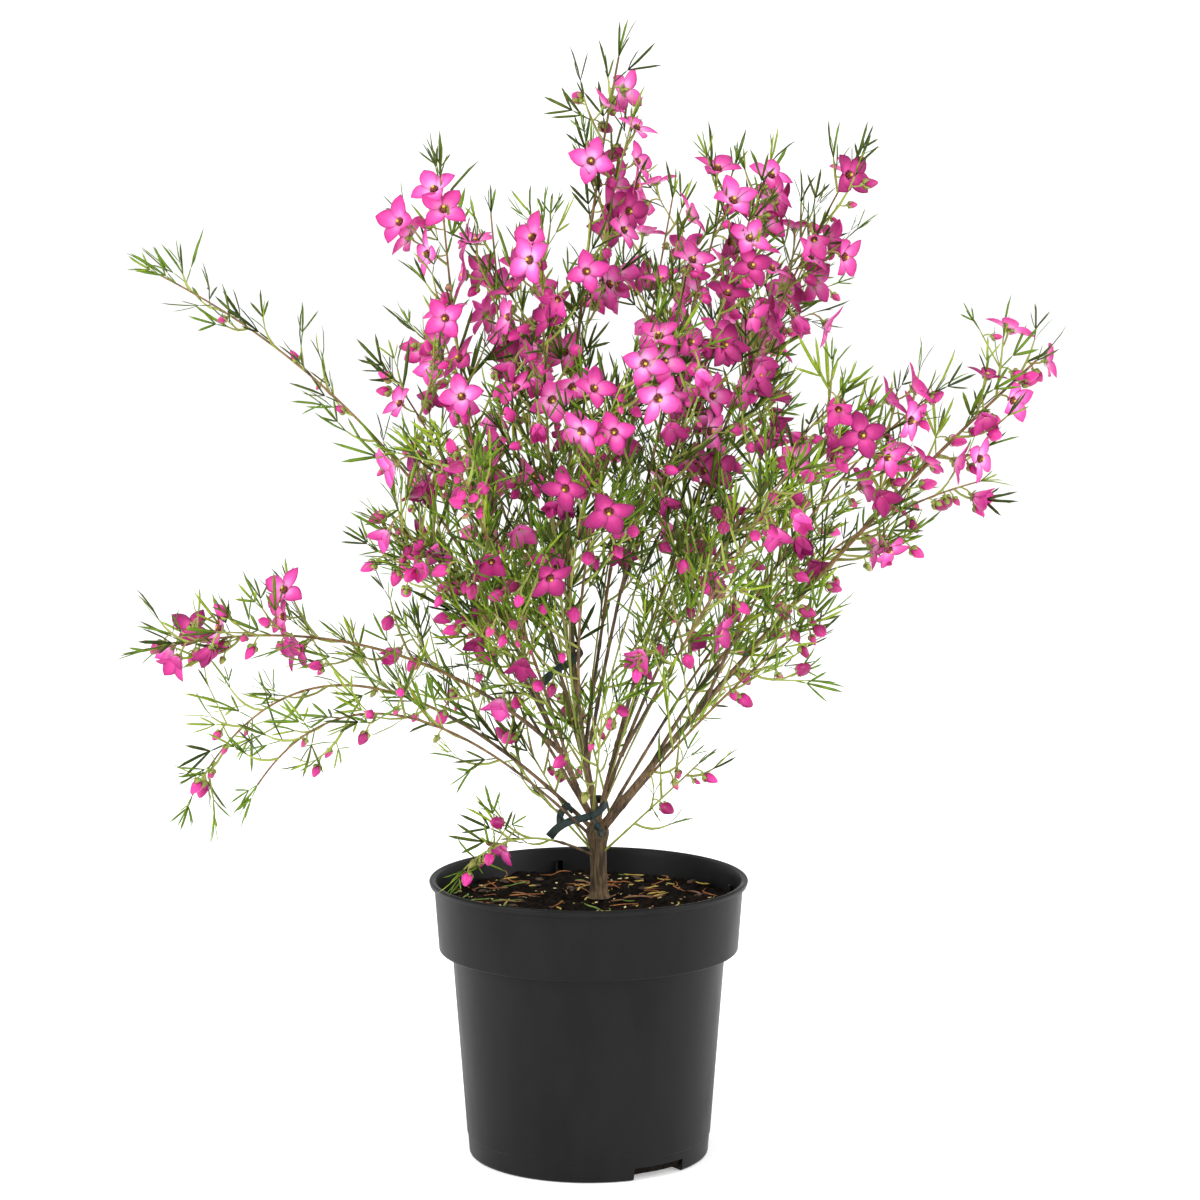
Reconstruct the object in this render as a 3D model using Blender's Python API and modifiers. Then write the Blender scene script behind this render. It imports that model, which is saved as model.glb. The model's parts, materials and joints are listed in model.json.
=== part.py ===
# Boronia in flower in a plastic nursery pot.
# The origin is the middle of the pot's flat underside, +Z is up and the side with the drain notch faces -Y.
import math
import random
from collections import namedtuple

import bmesh
import bpy
import numpy as np
from mathutils import Matrix, Vector

# Lengths are in metres, and mm turns a length given in millimetres into one.
mm = 0.001
gap = 0.3 * mm

# The pot
pot_height = 122.7 * mm
rim_radius = 70.0 * mm
rim_depth = 3.2 * mm
collar_top_radius = 67.8 * mm
collar_foot_radius = 65.8 * mm
collar_foot = 91.3 * mm
body_top_radius = 60.0 * mm
base_radius = 52.9 * mm
base_bevel = 1.2 * mm
wall = 1.5 * mm
floor_thickness = 2.2 * mm
pot_sides = 28
notch_count = 2
notch_angle = math.radians(36)
notch_width = 26 * mm
notch_height = 5.5 * mm
notch_depth = 9 * mm

# The potting mix, nearly level round the stem and lower at the wall
soil_top = 113.5 * mm
soil_level_radius = 16 * mm
soil_edge_drop = 2.0 * mm

# The trunk, from its flat foot on the soil to the fork
trunk_foot = Vector((4.5, 0, 113.8)) * mm
trunk_bend = Vector((4.5, 0, 131)) * mm
trunk_tip = Vector((3.6, 0, 149.5)) * mm
trunk_radius = 4.0 * mm
flare_radius = 1.7 * mm
flare_height = 2.6 * mm
fork_height = 143 * mm
fork_swelling = 1.5 * mm
fork_spread = 4.5 * mm
rounded_share = 0.15
cutter_reach = 14 * mm
trunk_rings = 9
bough_rings = 5

# Twigs, leaves, flowers and buds
twig_radius = 1.0 * mm
stem_tip_radius = 0.9 * mm
leaf_length = 29 * mm
tip_leaf_length = 22 * mm
leaf_width = 3.8 * mm
leaf_thickness = 0.7 * mm
leaf_shoulder = 0.36
leaf_sink = 0.35 * mm
flower_radius = 10.5 * mm
flower_waist = 4.9 * mm
flower_cup = 2.0 * mm
flower_thickness = 0.9 * mm
stalk_length = 8 * mm
stalk_radius = 0.7 * mm
bud_stalk = 6.5 * mm
bud_length = 8.5 * mm
bud_radius = 2.6 * mm
bloom_lean = 1.1
bloom_outward = 0.9
tip_leaf_sink = 2.0 * mm
turn_between_shoots = math.radians(137.5)
shoot_rise = 0.45
shortest_shoot = 9 * mm
straight_shoot = 26 * mm

# The room that pieces keep to the next mass's space and the wood, and to what grew before them in
# their own mass
space_margin = 0.9 * mm
piece_clearance = 2.2 * mm
sample_spacing = 2.5 * mm

# A stem leaves its parent at a height, and curves past its elbow to its tip. The bough is the lower share
# of it, and the mass of foliage has the rest, with side shoots of a given reach. The last two columns are
# the shares of the shoots that end in an open flower and in a bud.
Stem = namedtuple("Stem", "parent height elbow tip radius bough shoots reach flowers buds")
stems = {
    "leader": Stem("trunk", 149.8, (-25, -2, 280), (13, 5, 479), 2.35, 0.30, 7, 30, 0.65, 0.20),
    "left_crown": Stem("trunk", 146, (-50, -17, 245), (-62, -30, 428), 2.0, 0.32, 6, 32, 0.60, 0.25),
    "right_crown": Stem("trunk", 146, (38, 15, 297), (117, 28, 436), 1.9, 0.30, 6, 36, 0.60, 0.30),
    "right_arm": Stem("trunk", 143, (100, -3, 264), (192, -9, 350), 2.0, 0.30, 7, 34, 0.50, 0.40),
    "low_left_droop": Stem("trunk", 142, (-117, 15, 263), (-177, 29, 154), 1.6, 0.32, 5, 28, 0.35, 0.45),
    "right_shoulder": Stem("trunk", 148, (46, -20, 275), (106, -48, 338), 1.6, 0.35, 6, 38, 0.35, 0.50),
    "bright_front": Stem("trunk", 146, (-20, -69, 259), (28, -88, 372), 1.5, 0.30, 5, 34, 0.45, 0.35),
    "back_low_left": Stem("trunk", 144, (-60, 60, 245), (-88, 95, 262), 1.5, 0.32, 4, 30, 0.35, 0.40),
    "back_low_right": Stem("trunk", 142, (65, 65, 240), (112, 105, 272), 1.5, 0.32, 4, 32, 0.35, 0.40),
    "right_low": Stem("trunk", 140, (56, -37, 214), (99, -54, 246), 1.4, 0.22, 4, 28, 0.05, 0.60),
    "low_left_twig": Stem("trunk", 138, (-90, -70, 248), (-136, -88, 180), 1.2, 0.22, 4, 24, 0.0, 0.60),
    "front_twig": Stem("trunk", 131, (-30, -24, 156), (-53, -43, 135), 1.1, 0.30, 2, 12, 0.80, 0.20),
    "left_inner": Stem("leader", 167, (-30, 24, 262), (-43, 38, 412), 1.6, 0.28, 5, 32, 0.60, 0.20),
    "right_leader": Stem("leader", 172, (15, -14, 275), (61, -19, 430), 1.7, 0.42, 6, 32, 0.65, 0.20),
    "front_crown": Stem("leader", 176, (-20, -36, 280), (-19, -38, 408), 1.5, 0.26, 5, 32, 0.65, 0.20),
    "back_leader": Stem("leader", 178, (14, 60, 290), (38, 93, 418), 1.6, 0.26, 5, 36, 0.60, 0.20),
    "back_left": Stem("leader", 184, (-35, 55, 270), (-70, 105, 362), 1.5, 0.26, 5, 36, 0.50, 0.30),
    "left_mid": Stem("left_crown", 172, (-45, -35, 262), (-84, -52, 284), 1.5, 0.28, 4, 30, 0.55, 0.30),
    "low_left_arm": Stem("left_crown", 180, (-84, -28, 250), (-181, -38, 230), 1.7, 0.22, 6, 28, 0.40, 0.45),
    "left_arm": Stem("left_crown", 190, (-68, -11, 328), (-182, -19, 387), 1.5, 0.24, 6, 16, 0.0, 0.30),
    "left_shoulder": Stem("left_crown", 200, (-50, 20, 290), (-86, 33, 340), 1.3, 0.26, 4, 30, 0.45, 0.30),
    "front_left": Stem("left_crown", 164, (-30, -60, 255), (-56, -108, 322), 1.4, 0.26, 5, 32, 0.45, 0.35),
    "back_right": Stem("right_crown", 172, (48, 60, 275), (98, 110, 385), 1.6, 0.26, 5, 36, 0.50, 0.30),
    "right_mid": Stem("right_arm", 172, (83, 38, 270), (176, 58, 292), 1.5, 0.26, 5, 30, 0.15, 0.60),
    "right_upper": Stem("right_arm", 200, (85, -24, 290), (146, -34, 338), 1.4, 0.22, 4, 30, 0.50, 0.35),
    "front_right": Stem("right_shoulder", 178, (45, -65, 245), (80, -115, 312), 1.4, 0.26, 5, 32, 0.40, 0.40),
    "right_spur": Stem("right_leader", 250, (50, 10, 340), (79, 24, 434), 1.2, 0.22, 4, 26, 0.65, 0.20),
}

for old in list(bpy.data.objects):
    bpy.data.objects.remove(old, do_unlink=True)


def collection_in_scene(name):
    collection = bpy.data.collections.new(name)
    bpy.context.scene.collection.children.link(collection)
    return collection


plant_parts = collection_in_scene("potted_boronia")
helpers = collection_in_scene("helpers")


def material(name, colour, roughness):
    made = bpy.data.materials.new(name)
    made.use_nodes = True
    shader = made.node_tree.nodes["Principled BSDF"]
    shader.inputs["Base Color"].default_value = (*colour, 1)
    shader.inputs["Roughness"].default_value = roughness
    shader.inputs["Metallic"].default_value = 0
    return made


charcoal_plastic = material("charcoal_plastic", (0.045, 0.045, 0.047), 0.45)
potting_mix = material("potting_mix", (0.016, 0.011, 0.008), 0.95)
brown_bark = material("brown_bark", (0.12, 0.075, 0.045), 0.85)
foliage_green = material("foliage_green", (0.12, 0.22, 0.035), 0.6)


def helper(name, data):
    made = bpy.data.objects.new(name, data)
    made.hide_render = True
    made.display_type = "WIRE"
    helpers.objects.link(made)
    return made


def evaluated_mesh(thing):
    graph = bpy.context.evaluated_depsgraph_get()
    return bpy.data.meshes.new_from_object(thing.evaluated_get(graph))


# The pot and what fills it are turned about the middle.


def turned(name, outline, finish):
    """Turns the outline, a list of (radius, height) pairs that runs down the outer side, about the Z axis."""
    shape = bmesh.new()
    corners = [shape.verts.new((radius, 0, height)) for radius, height in outline]
    for above, below in zip(corners, corners[1:]):
        shape.edges.new((above, below))
    data = bpy.data.meshes.new(name)
    shape.to_mesh(data)
    shape.free()
    made = bpy.data.objects.new(name, data)
    plant_parts.objects.link(made)
    data.materials.append(finish)
    screw = made.modifiers.new("turn", "SCREW")
    screw.steps = screw.render_steps = pot_sides
    screw.use_merge_vertices = True
    screw.merge_threshold = 0.00005
    screw.use_smooth_shade = False
    return made


def inner_outline():
    """The inner side of the pot, from the floor up, as (radius, height) pairs."""
    return [
        (base_radius - wall, floor_thickness),
        (body_top_radius - wall, collar_foot - 2 * mm),
        (collar_foot_radius - wall, collar_foot + 1.4 * mm),
        (collar_top_radius - wall, pot_height - rim_depth),
        (collar_top_radius - wall + 0.8 * mm, pot_height - 0.5 * mm),
    ]


def make_pot():
    inside = [(0, floor_thickness)] + inner_outline()
    rim = [
        (rim_radius - 1.2 * mm, pot_height),
        (rim_radius, pot_height - 1.0 * mm),
        (rim_radius - 0.3 * mm, pot_height - rim_depth + 0.4 * mm),
        (collar_top_radius, pot_height - rim_depth),
    ]
    outside = [
        (collar_foot_radius, collar_foot + 0.4 * mm),
        (body_top_radius + 0.8 * mm, collar_foot - 1.4 * mm),
        (body_top_radius, collar_foot - 3.0 * mm),
        (base_radius + 0.6 * mm, 3.0 * mm),
        (base_radius - base_bevel, 0),
        (0, 0),
    ]
    pot = turned("pot", inside + rim + outside, charcoal_plastic)
    for number in range(notch_count):
        cut_notch(pot, number)


def cut_notch(pot, number):
    """Cuts a drain notch through the foot of the wall and the edge of the floor."""
    block = bmesh.new()
    bmesh.ops.create_cube(block, size=1)
    size = Vector((notch_width, 2 * notch_depth, 2 * notch_height))
    angle = notch_angle + number * math.tau / notch_count
    middle = Matrix.Rotation(angle, 4, "Z") @ Matrix.Translation((0, -base_radius, 0))
    block.transform(middle @ Matrix.Diagonal((*size, 1)))
    data = bpy.data.meshes.new(f"notch_{number}")
    block.to_mesh(data)
    block.free()
    cut = pot.modifiers.new(f"notch_{number}", "BOOLEAN")
    cut.operation = "DIFFERENCE"
    cut.object = helper(data.name, data)


def make_soil():
    under_rim = soil_top - soil_edge_drop
    (low_radius, low), (step_radius, step), (ledge_radius, ledge), (lip_radius, lip) = inner_outline()[:4]
    climb = (under_rim - ledge) / (lip - ledge)
    edge_radius = ledge_radius + (lip_radius - ledge_radius) * climb
    outline = [
        (0, soil_top),
        (soil_level_radius, soil_top),
        (edge_radius - gap, under_rim),
        (ledge_radius - gap, ledge + gap),
        (step_radius - gap, step + gap),
        (low_radius - gap, low + gap),
        (0, low + gap),
    ]
    turned("soil", outline, potting_mix)


# The wood: every stem is one curve with a foot, an elbow and a tip.
curves = {"trunk": (trunk_foot, trunk_bend, trunk_tip)}


def point_on(name, share):
    foot, elbow, tip = curves[name]
    return foot * (1 - share) ** 2 + elbow * 2 * share * (1 - share) + tip * share**2


def heading_on(name, share):
    foot, elbow, tip = curves[name]
    return ((elbow - foot) * (1 - share) + (tip - elbow) * share).normalized()


def share_at_height(name, height):
    low, high = 0, 0.6 if name != "trunk" else 1
    for _ in range(30):
        middle = (low + high) / 2
        if point_on(name, middle).z < height:
            low = middle
        else:
            high = middle
    return low


def radius_on(name, share):
    if name == "trunk":
        height = point_on(name, share).z
        flare = flare_radius * math.exp(-(height - trunk_foot.z) / flare_height)
        swelling = fork_swelling * math.exp(-(((height - fork_height) / fork_spread) ** 2))
        rounding = fork_swelling * max(0, share - 1 + rounded_share) / rounded_share
        return trunk_radius + flare + swelling - rounding
    foot_radius = stems[name].radius * mm
    return foot_radius + (stem_tip_radius - foot_radius) * share


for stem_name, stem in stems.items():
    foot = point_on(stem.parent, share_at_height(stem.parent, stem.height * mm))
    curves[stem_name] = (foot, Vector(stem.elbow) * mm, Vector(stem.tip) * mm)


def triangle_profile():
    """The three-sided section of a twig, 1 mm from middle to corner."""
    data = bpy.data.curves.new("twig_section", "CURVE")
    data.dimensions = "2D"
    line = data.splines.new("POLY")
    line.points.add(2)
    for number, point in enumerate(line.points):
        angle = number * math.tau / 3
        point.co = (mm * math.cos(angle), mm * math.sin(angle), 0, 1)
    line.use_cyclic_u = True
    return helper("twig_section", data)


twig_section = triangle_profile()


def tube_mesh(name, points, radii, resolution=None):
    """A tube through the points with a radius at each. With no resolution it has the twig's section."""
    data = bpy.data.curves.new(name, "CURVE")
    data.dimensions = "3D"
    data.twist_mode = "MINIMUM"
    if resolution is None:
        data.bevel_mode = "OBJECT"
        data.bevel_object = twig_section
    else:
        data.bevel_depth = mm
        data.bevel_resolution = resolution
    data.use_fill_caps = True
    line = data.splines.new("POLY")
    line.points.add(len(points) - 1)
    for place, point, radius in zip(line.points, points, radii):
        place.co = (*point, 1)
        place.radius = radius / mm
    line_object = helper(name, data)
    mesh = evaluated_mesh(line_object)
    bpy.data.objects.remove(line_object, do_unlink=True)
    bpy.data.curves.remove(data)
    shape = bmesh.new()
    shape.from_mesh(mesh)
    bmesh.ops.remove_doubles(shape, verts=shape.verts, dist=0.001 * mm)
    bmesh.ops.recalc_face_normals(shape, faces=shape.faces)
    shape.to_mesh(mesh)
    shape.free()
    return mesh


def stretch(name, start, end, rings, extra=0):
    """Points and radii along a stem from one share of it to another. The extra makes a wider, longer copy."""
    shares = [start + (end - start) * number / (rings - 1) for number in range(rings)]
    points = [point_on(name, share) for share in shares]
    radii = [radius_on(name, share) + extra for share in shares]
    points[0] = points[0] - heading_on(name, start) * extra
    points[-1] = points[-1] + heading_on(name, end) * extra
    return points, radii


def largest_body(mesh):
    """Keeps the largest joined body of the mesh, so that scraps and sealed hollows go."""
    shape = bmesh.new()
    shape.from_mesh(mesh)
    bodies, unseen = [], set(shape.verts)
    while unseen:
        found, edge_of_search = set(), [unseen.pop()]
        while edge_of_search:
            corner = edge_of_search.pop()
            found.add(corner)
            for edge in corner.link_edges:
                other = edge.other_vert(corner)
                if other in unseen:
                    unseen.remove(other)
                    edge_of_search.append(other)
        bodies.append(found)
    keep = max(bodies, key=len)
    scraps = [corner for corner in shape.verts if corner not in keep]
    bmesh.ops.delete(shape, geom=scraps, context="VERTS")
    shape.to_mesh(mesh)
    shape.free()


def joined(name, base, others, operation, finish):
    """One Boolean of the base mesh with all the other meshes, applied, as a new part."""
    made = bpy.data.objects.new(name, base)
    plant_parts.objects.link(made)
    if others:
        tools = bpy.data.collections.new(f"{name}_tools")
        bpy.context.scene.collection.children.link(tools)
        for number, data in enumerate(others):
            tools.objects.link(bpy.data.objects.new(f"{name}_tool_{number}", data))
        boolean = made.modifiers.new("join", "BOOLEAN")
        boolean.operation = operation
        boolean.operand_type = "COLLECTION"
        boolean.collection = tools
        result = evaluated_mesh(made)
        made.modifiers.clear()
        made.data = result
        for tool in list(tools.objects):
            bpy.data.objects.remove(tool, do_unlink=True)
        bpy.data.collections.remove(tools)
        largest_body(result)
    made.data.name = name
    made.data.materials.clear()
    made.data.materials.append(finish)
    return made


def make_trunk():
    points, radii = stretch("trunk", 0, 1, trunk_rings)
    joined("trunk", tube_mesh("trunk", points, radii, 3), [], "UNION", brown_bark)


def near(points, others, distance):
    """True where any of the points lies within the distance of any of the others."""
    apart = np.asarray(points)[:, None, :] - np.asarray(others)[None, :, :]
    return bool((np.linalg.norm(apart, axis=2) < distance).any())


def make_boughs():
    """Each bough starts on its parent's middle line and is cut clear of the wood made before it."""
    made = {"trunk": stretch("trunk", 0, 1, trunk_rings, gap)}
    for name, stem in stems.items():
        points, radii = stretch(name, 0, stem.bough, bough_rings)
        dense = [point_on(name, stem.bough * number / 40) for number in range(41)]
        cutters = []
        for other, (path, widths) in made.items():
            if near(dense, path, cutter_reach) or other == stem.parent:
                cutters.append(tube_mesh("cutter", path, widths, 3 if other == "trunk" else 1))
        joined(f"{name}_bough", tube_mesh(name, points, radii, 1), cutters, "DIFFERENCE", brown_bark)
        made[name] = stretch(name, 0, stem.bough, bough_rings, gap)


# The space of each mass: a point belongs to the mass whose stem is nearest, and stays clear of all the wood.
def samples(name, start, end, spacing):
    length = (point_on(name, end) - point_on(name, start)).length
    count = max(4, math.ceil(length / spacing))
    shares = [start + (end - start) * number / count for number in range(count + 1)]
    return [tuple(point_on(name, share)) for share in shares], [radius_on(name, share) for share in shares]


mass_paths = {name: np.array(samples(name, stem.bough, 1, 2 * mm)[0]) for name, stem in stems.items()}
wood = [samples("trunk", 0, 1, 1 * mm)]
wood += [samples(name, 0, stem.bough, 1 * mm) for name, stem in stems.items()]
wood_points = np.concatenate([np.array(points) for points, _ in wood])
wood_radii = np.concatenate([np.array(radii) for _, radii in wood])


def in_space(name, points):
    """True where every point is nearest to this mass's stem, clear of the wood and clear of the pot."""

    def distance(path):
        return np.linalg.norm(points[:, None, :] - path[None, :, :], axis=2).min(axis=1)

    own = distance(mass_paths[name])
    for other, path in mass_paths.items():
        if other != name and (distance(path) < own + 2 * space_margin).any():
            return False
    to_wood = np.linalg.norm(points[:, None, :] - wood_points[None, :, :], axis=2) - wood_radii
    if (to_wood < space_margin).any():
        return False
    over_pot = np.hypot(points[:, 0], points[:, 1]) < rim_radius + 3 * mm
    return not (over_pot & (points[:, 2] < pot_height + 1.5 * mm)).any()


def side_axes(heading):
    """Two directions at right angles to the heading and to each other."""
    across = heading.cross(Vector((0, 0, 1)))
    if across.length < 0.05:
        across = Vector((1, 0, 0))
    across.normalize()
    return across, across.cross(heading).normalized()


def leaning(heading, turn, lean):
    """The heading tipped over by the lean, towards the side that the turn gives."""
    across, above = side_axes(heading)
    side = across * math.cos(turn) + above * math.sin(turn)
    return (heading * math.cos(lean) + side * math.sin(lean)).normalized()


def placed(shape, origin, heading, roll=0.0):
    """Turns a shape that was made along +Z to lie along the heading from the origin, and returns its mesh."""
    turn = heading.to_track_quat("Z", "Y").to_matrix().to_4x4()
    shape.transform(Matrix.Translation(origin) @ turn @ Matrix.Rotation(roll, 4, "Z"))
    data = bpy.data.meshes.new("piece")
    shape.to_mesh(data)
    shape.free()
    return data


def twig_mesh(root, middle, tip):
    """A three-sided twig that narrows to its tip, in one piece if it is straight."""
    straight = (middle - root).angle(tip - middle) < 0.01
    points = [root, tip] if straight else [root, middle, tip]
    radii = [twig_radius * (1 - 0.4 * number / (len(points) - 1)) for number in range(len(points))]
    return tube_mesh("twig", points, radii)


def leaf_mesh(root, heading, length, roll):
    """A flat pointed blade, widest at its shoulder."""
    shape = bmesh.new()
    bmesh.ops.create_uvsphere(shape, u_segments=4, v_segments=2, radius=0.5)
    for corner in shape.verts:
        corner.co.z += 0.5 if abs(corner.co.z) > 0.4 else leaf_shoulder
    shape.transform(Matrix.Diagonal((leaf_width, leaf_thickness, length, 1)))
    return placed(shape, root, heading, roll)


def flower_mesh(middle, facing, roll):
    """A thin star of four petals, cupped towards the way it faces."""
    shape = bmesh.new()
    bmesh.ops.create_uvsphere(shape, u_segments=8, v_segments=2, radius=1)
    ring = sorted((v for v in shape.verts if abs(v.co.z) < 0.5), key=lambda v: math.atan2(v.co.y, v.co.x))
    for number, corner in enumerate(ring):
        tip = number % 2 == 0
        corner.co *= flower_radius if tip else flower_waist
        corner.co.z = flower_cup if tip else 0
    for pole in (v for v in shape.verts if v not in ring):
        pole.co.z *= flower_thickness if pole.co.z > 0 else 2 * flower_thickness
    return placed(shape, middle, facing, roll)


def bud_mesh(root, facing):
    """A pointed bud whose underside narrows to its twig."""
    shape = bmesh.new()
    bmesh.ops.create_uvsphere(shape, u_segments=5, v_segments=2, radius=bud_radius)
    for corner in shape.verts:
        if corner.co.z > bud_radius / 2:
            corner.co.z = bud_length * 0.6
        elif corner.co.z < -bud_radius / 2:
            corner.co.z = -bud_stalk - leaf_sink
    return placed(shape, root + facing * bud_stalk, facing)


def line_samples(start, end, first=0.0):
    """Points along a straight piece, from a share of it to its end."""
    count = max(2, math.ceil((end - start).length * (1 - first) / sample_spacing))
    return [start.lerp(end, first + (1 - first) * number / count) for number in range(count + 1)]


def along(path, share):
    """The point and the heading at a share of a path of three points."""
    first, middle, last = path
    if share < 0.5:
        return first.lerp(middle, share * 2), (middle - first).normalized()
    return middle.lerp(last, share * 2 - 1), (last - middle).normalized()


class Mass:
    """The upper part of one stem with its side shoots, leaves and blossom, fused into one body."""

    def __init__(self, name):
        self.name = name
        self.stem = stems[name]
        self.pieces = []
        self.taken = mass_paths[name]

    def has_room(self, points):
        """True where the points stay in this mass's space and miss what has grown in it."""
        points = np.array([tuple(point) for point in points])
        to_taken = np.linalg.norm(points[:, None, :] - self.taken[None, :, :], axis=2)
        return bool((to_taken > piece_clearance).all()) and in_space(self.name, points)

    def add(self, meshes, points):
        self.pieces += meshes
        self.taken = np.concatenate([self.taken, np.array([tuple(point) for point in points])])

    def grow_leaf(self, root, heading, dice, lean, longest=leaf_length, sink=leaf_sink):
        turn = dice.uniform(0, math.tau)
        length = longest * dice.uniform(0.7, 1)
        roll = dice.uniform(0, math.pi)
        direction = leaning(heading, turn, lean)
        start, end = root - direction * sink, root + direction * length
        if self.has_room(line_samples(start, end, 0.3)):
            self.add([leaf_mesh(start, direction, length + sink, roll)], line_samples(start, end, 0.15))

    def grow_bloom(self, root, heading, dice, flowers, buds):
        """A flower or a bud on its stalk, by the dice. It faces out from the plant."""
        lot = dice.random()
        turn = dice.uniform(0, math.tau)
        nod = dice.uniform(-0.5, 0.6)
        roll = dice.uniform(0, math.tau)
        outward = Vector((root.x, root.y, 0)).normalized() * bloom_outward
        facing = (leaning(heading, turn, bloom_lean) + outward + Vector((0, 0, nod))).normalized()
        if lot < flowers:
            self.grow_flower(root, facing, roll)
        elif lot < flowers + buds:
            tip = root + facing * (bud_stalk + bud_length * 0.6)
            if self.has_room(line_samples(root, tip, 0.4)):
                self.add([bud_mesh(root, facing)], line_samples(root, tip, 0.2))

    def grow_flower(self, root, facing, roll):
        middle = root + facing * stalk_length
        across, above = side_axes(facing)
        disc = [middle + facing * flower_cup]
        for number in range(10):
            side = across * math.cos(number * math.tau / 10) + above * math.sin(number * math.tau / 10)
            disc += [middle + side * flower_radius, middle + side * flower_radius * 0.55]
        if self.has_room(disc):
            stalk = tube_mesh("stalk", [root - facing * leaf_sink, middle], [stalk_radius, stalk_radius])
            self.add([stalk, flower_mesh(middle, facing, roll)], disc + [middle])

    def grow_shoot(self, number):
        """A side shoot that leaves the stem at a slant and turns up. It shrinks until it fits."""
        stem = self.stem
        dice = random.Random(f"{self.name} shoot {number}")
        share = stem.bough + (1 - stem.bough) * (number + 0.6) / (stem.shoots + 0.6)
        ripeness = (number + 0.6) / (stem.shoots + 0.6)
        turn = number * turn_between_shoots + dice.uniform(-0.5, 0.5)
        length = stem.reach * mm * (1.15 - 0.5 * ripeness) * dice.uniform(0.8, 1.2)
        lean = dice.uniform(0.65, 0.95)
        root = point_on(self.name, share)
        first = leaning(heading_on(self.name, share), turn, lean)
        second = (first + Vector((0, 0, shoot_rise))).normalized()
        while length > shortest_shoot:
            middle = root + first * length * 0.5
            tip = middle + second * length * 0.5
            if length < straight_shoot:
                middle = root.lerp(tip, 0.5)
            if self.has_room(line_samples(root, middle, 0.7) + line_samples(middle, tip)):
                path = line_samples(root, middle) + line_samples(middle, tip)
                self.add([twig_mesh(root, middle, tip)], path)
                return root, middle, tip
            length *= 0.8
        return None

    def grow(self):
        name, stem = self.name, self.stem
        shoots = [self.grow_shoot(number) for number in range(stem.shoots)]
        for number, path in enumerate(shoots):
            dice = random.Random(f"{name} blossom {number}")
            if path is not None:
                root, heading = along(path, 0.85)
                self.grow_bloom(root, heading, dice, stem.flowers, stem.buds)
                root, heading = along(path, 1.0)
                self.grow_leaf(root, heading, dice, 0.08, tip_leaf_length, tip_leaf_sink)
                root, heading = along(path, 0.5)
                self.grow_leaf(root, heading, dice, 0.8)
            share = stem.bough + (1 - stem.bough) * (number + 0.1) / (stem.shoots + 0.6)
            root, heading = point_on(name, share), heading_on(name, share)
            if number > 0:
                self.grow_bloom(root, heading, dice, stem.flowers * 0.5, stem.buds * 0.4)
                self.grow_leaf(root, heading, dice, 0.9)
        dice = random.Random(f"{name} top")
        self.grow_bloom(point_on(name, 0.94), heading_on(name, 0.94), dice, stem.flowers, stem.buds)
        self.grow_leaf(point_on(name, 1), heading_on(name, 1), dice, 0.05, tip_leaf_length, tip_leaf_sink)
        self.grow_leaf(point_on(name, 0.95), heading_on(name, 0.95), dice, 0.6, tip_leaf_length)
        points, radii = stretch(name, stem.bough, 1, 6)
        points[0] = points[0] + heading_on(name, stem.bough) * gap
        joined(f"{name}_mass", tube_mesh(name, points, radii), self.pieces, "UNION", foliage_green)


make_pot()
make_soil()
make_trunk()
make_boughs()
for mass_name in stems:
    Mass(mass_name).grow()
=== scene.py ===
# Boronia in flower in a plastic nursery pot: the looks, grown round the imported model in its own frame.
import json
import math
import random
from collections import namedtuple

import bmesh
import bpy
import numpy as np
from mathutils import Matrix, Vector, noise

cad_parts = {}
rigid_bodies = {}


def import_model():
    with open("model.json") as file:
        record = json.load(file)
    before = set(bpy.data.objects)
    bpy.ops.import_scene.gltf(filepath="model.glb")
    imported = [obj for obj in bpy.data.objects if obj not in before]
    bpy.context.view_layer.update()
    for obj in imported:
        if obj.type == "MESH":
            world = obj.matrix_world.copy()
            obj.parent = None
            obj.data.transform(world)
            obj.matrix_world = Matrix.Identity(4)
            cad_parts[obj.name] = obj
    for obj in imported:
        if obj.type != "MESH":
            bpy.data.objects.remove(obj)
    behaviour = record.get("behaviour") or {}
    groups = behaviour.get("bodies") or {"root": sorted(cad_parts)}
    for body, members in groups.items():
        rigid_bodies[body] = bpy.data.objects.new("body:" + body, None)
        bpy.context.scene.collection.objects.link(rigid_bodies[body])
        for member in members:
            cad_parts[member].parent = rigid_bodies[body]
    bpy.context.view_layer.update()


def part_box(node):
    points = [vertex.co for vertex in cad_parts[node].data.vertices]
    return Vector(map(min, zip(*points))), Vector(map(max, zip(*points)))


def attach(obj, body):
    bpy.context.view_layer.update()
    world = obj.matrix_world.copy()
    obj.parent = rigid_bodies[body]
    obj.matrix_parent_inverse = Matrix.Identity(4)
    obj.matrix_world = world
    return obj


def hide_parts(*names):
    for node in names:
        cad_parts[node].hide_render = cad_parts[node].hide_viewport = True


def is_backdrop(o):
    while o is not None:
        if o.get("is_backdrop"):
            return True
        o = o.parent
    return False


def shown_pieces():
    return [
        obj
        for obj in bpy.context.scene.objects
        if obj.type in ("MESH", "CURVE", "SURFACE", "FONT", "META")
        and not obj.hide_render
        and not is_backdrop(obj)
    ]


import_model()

mm = 0.001  # lengths are in metres, and mm turns one given in millimetres into metres
pi = math.pi


# Small helpers

def linearColour(code):  # an sRGB hex value as the linear colour that a shader takes
    shares = [int(code[place:place + 2], 16) / 255 for place in (1, 3, 5)]
    return [s / 12.92 if s <= 0.04045 else ((s + 0.055) / 1.055) ** 2.4 for s in shares] + [1]


def addNode(tree, kind, links=None, **settings):
    node = tree.nodes.new(kind)
    for name, value in settings.items():
        setattr(node, name, value)
    for socket, source in (links or {}).items():
        if isinstance(source, bpy.types.NodeSocket):
            tree.links.new(source, node.inputs[socket])
        else:
            node.inputs[socket].default_value = source
    return node


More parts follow.
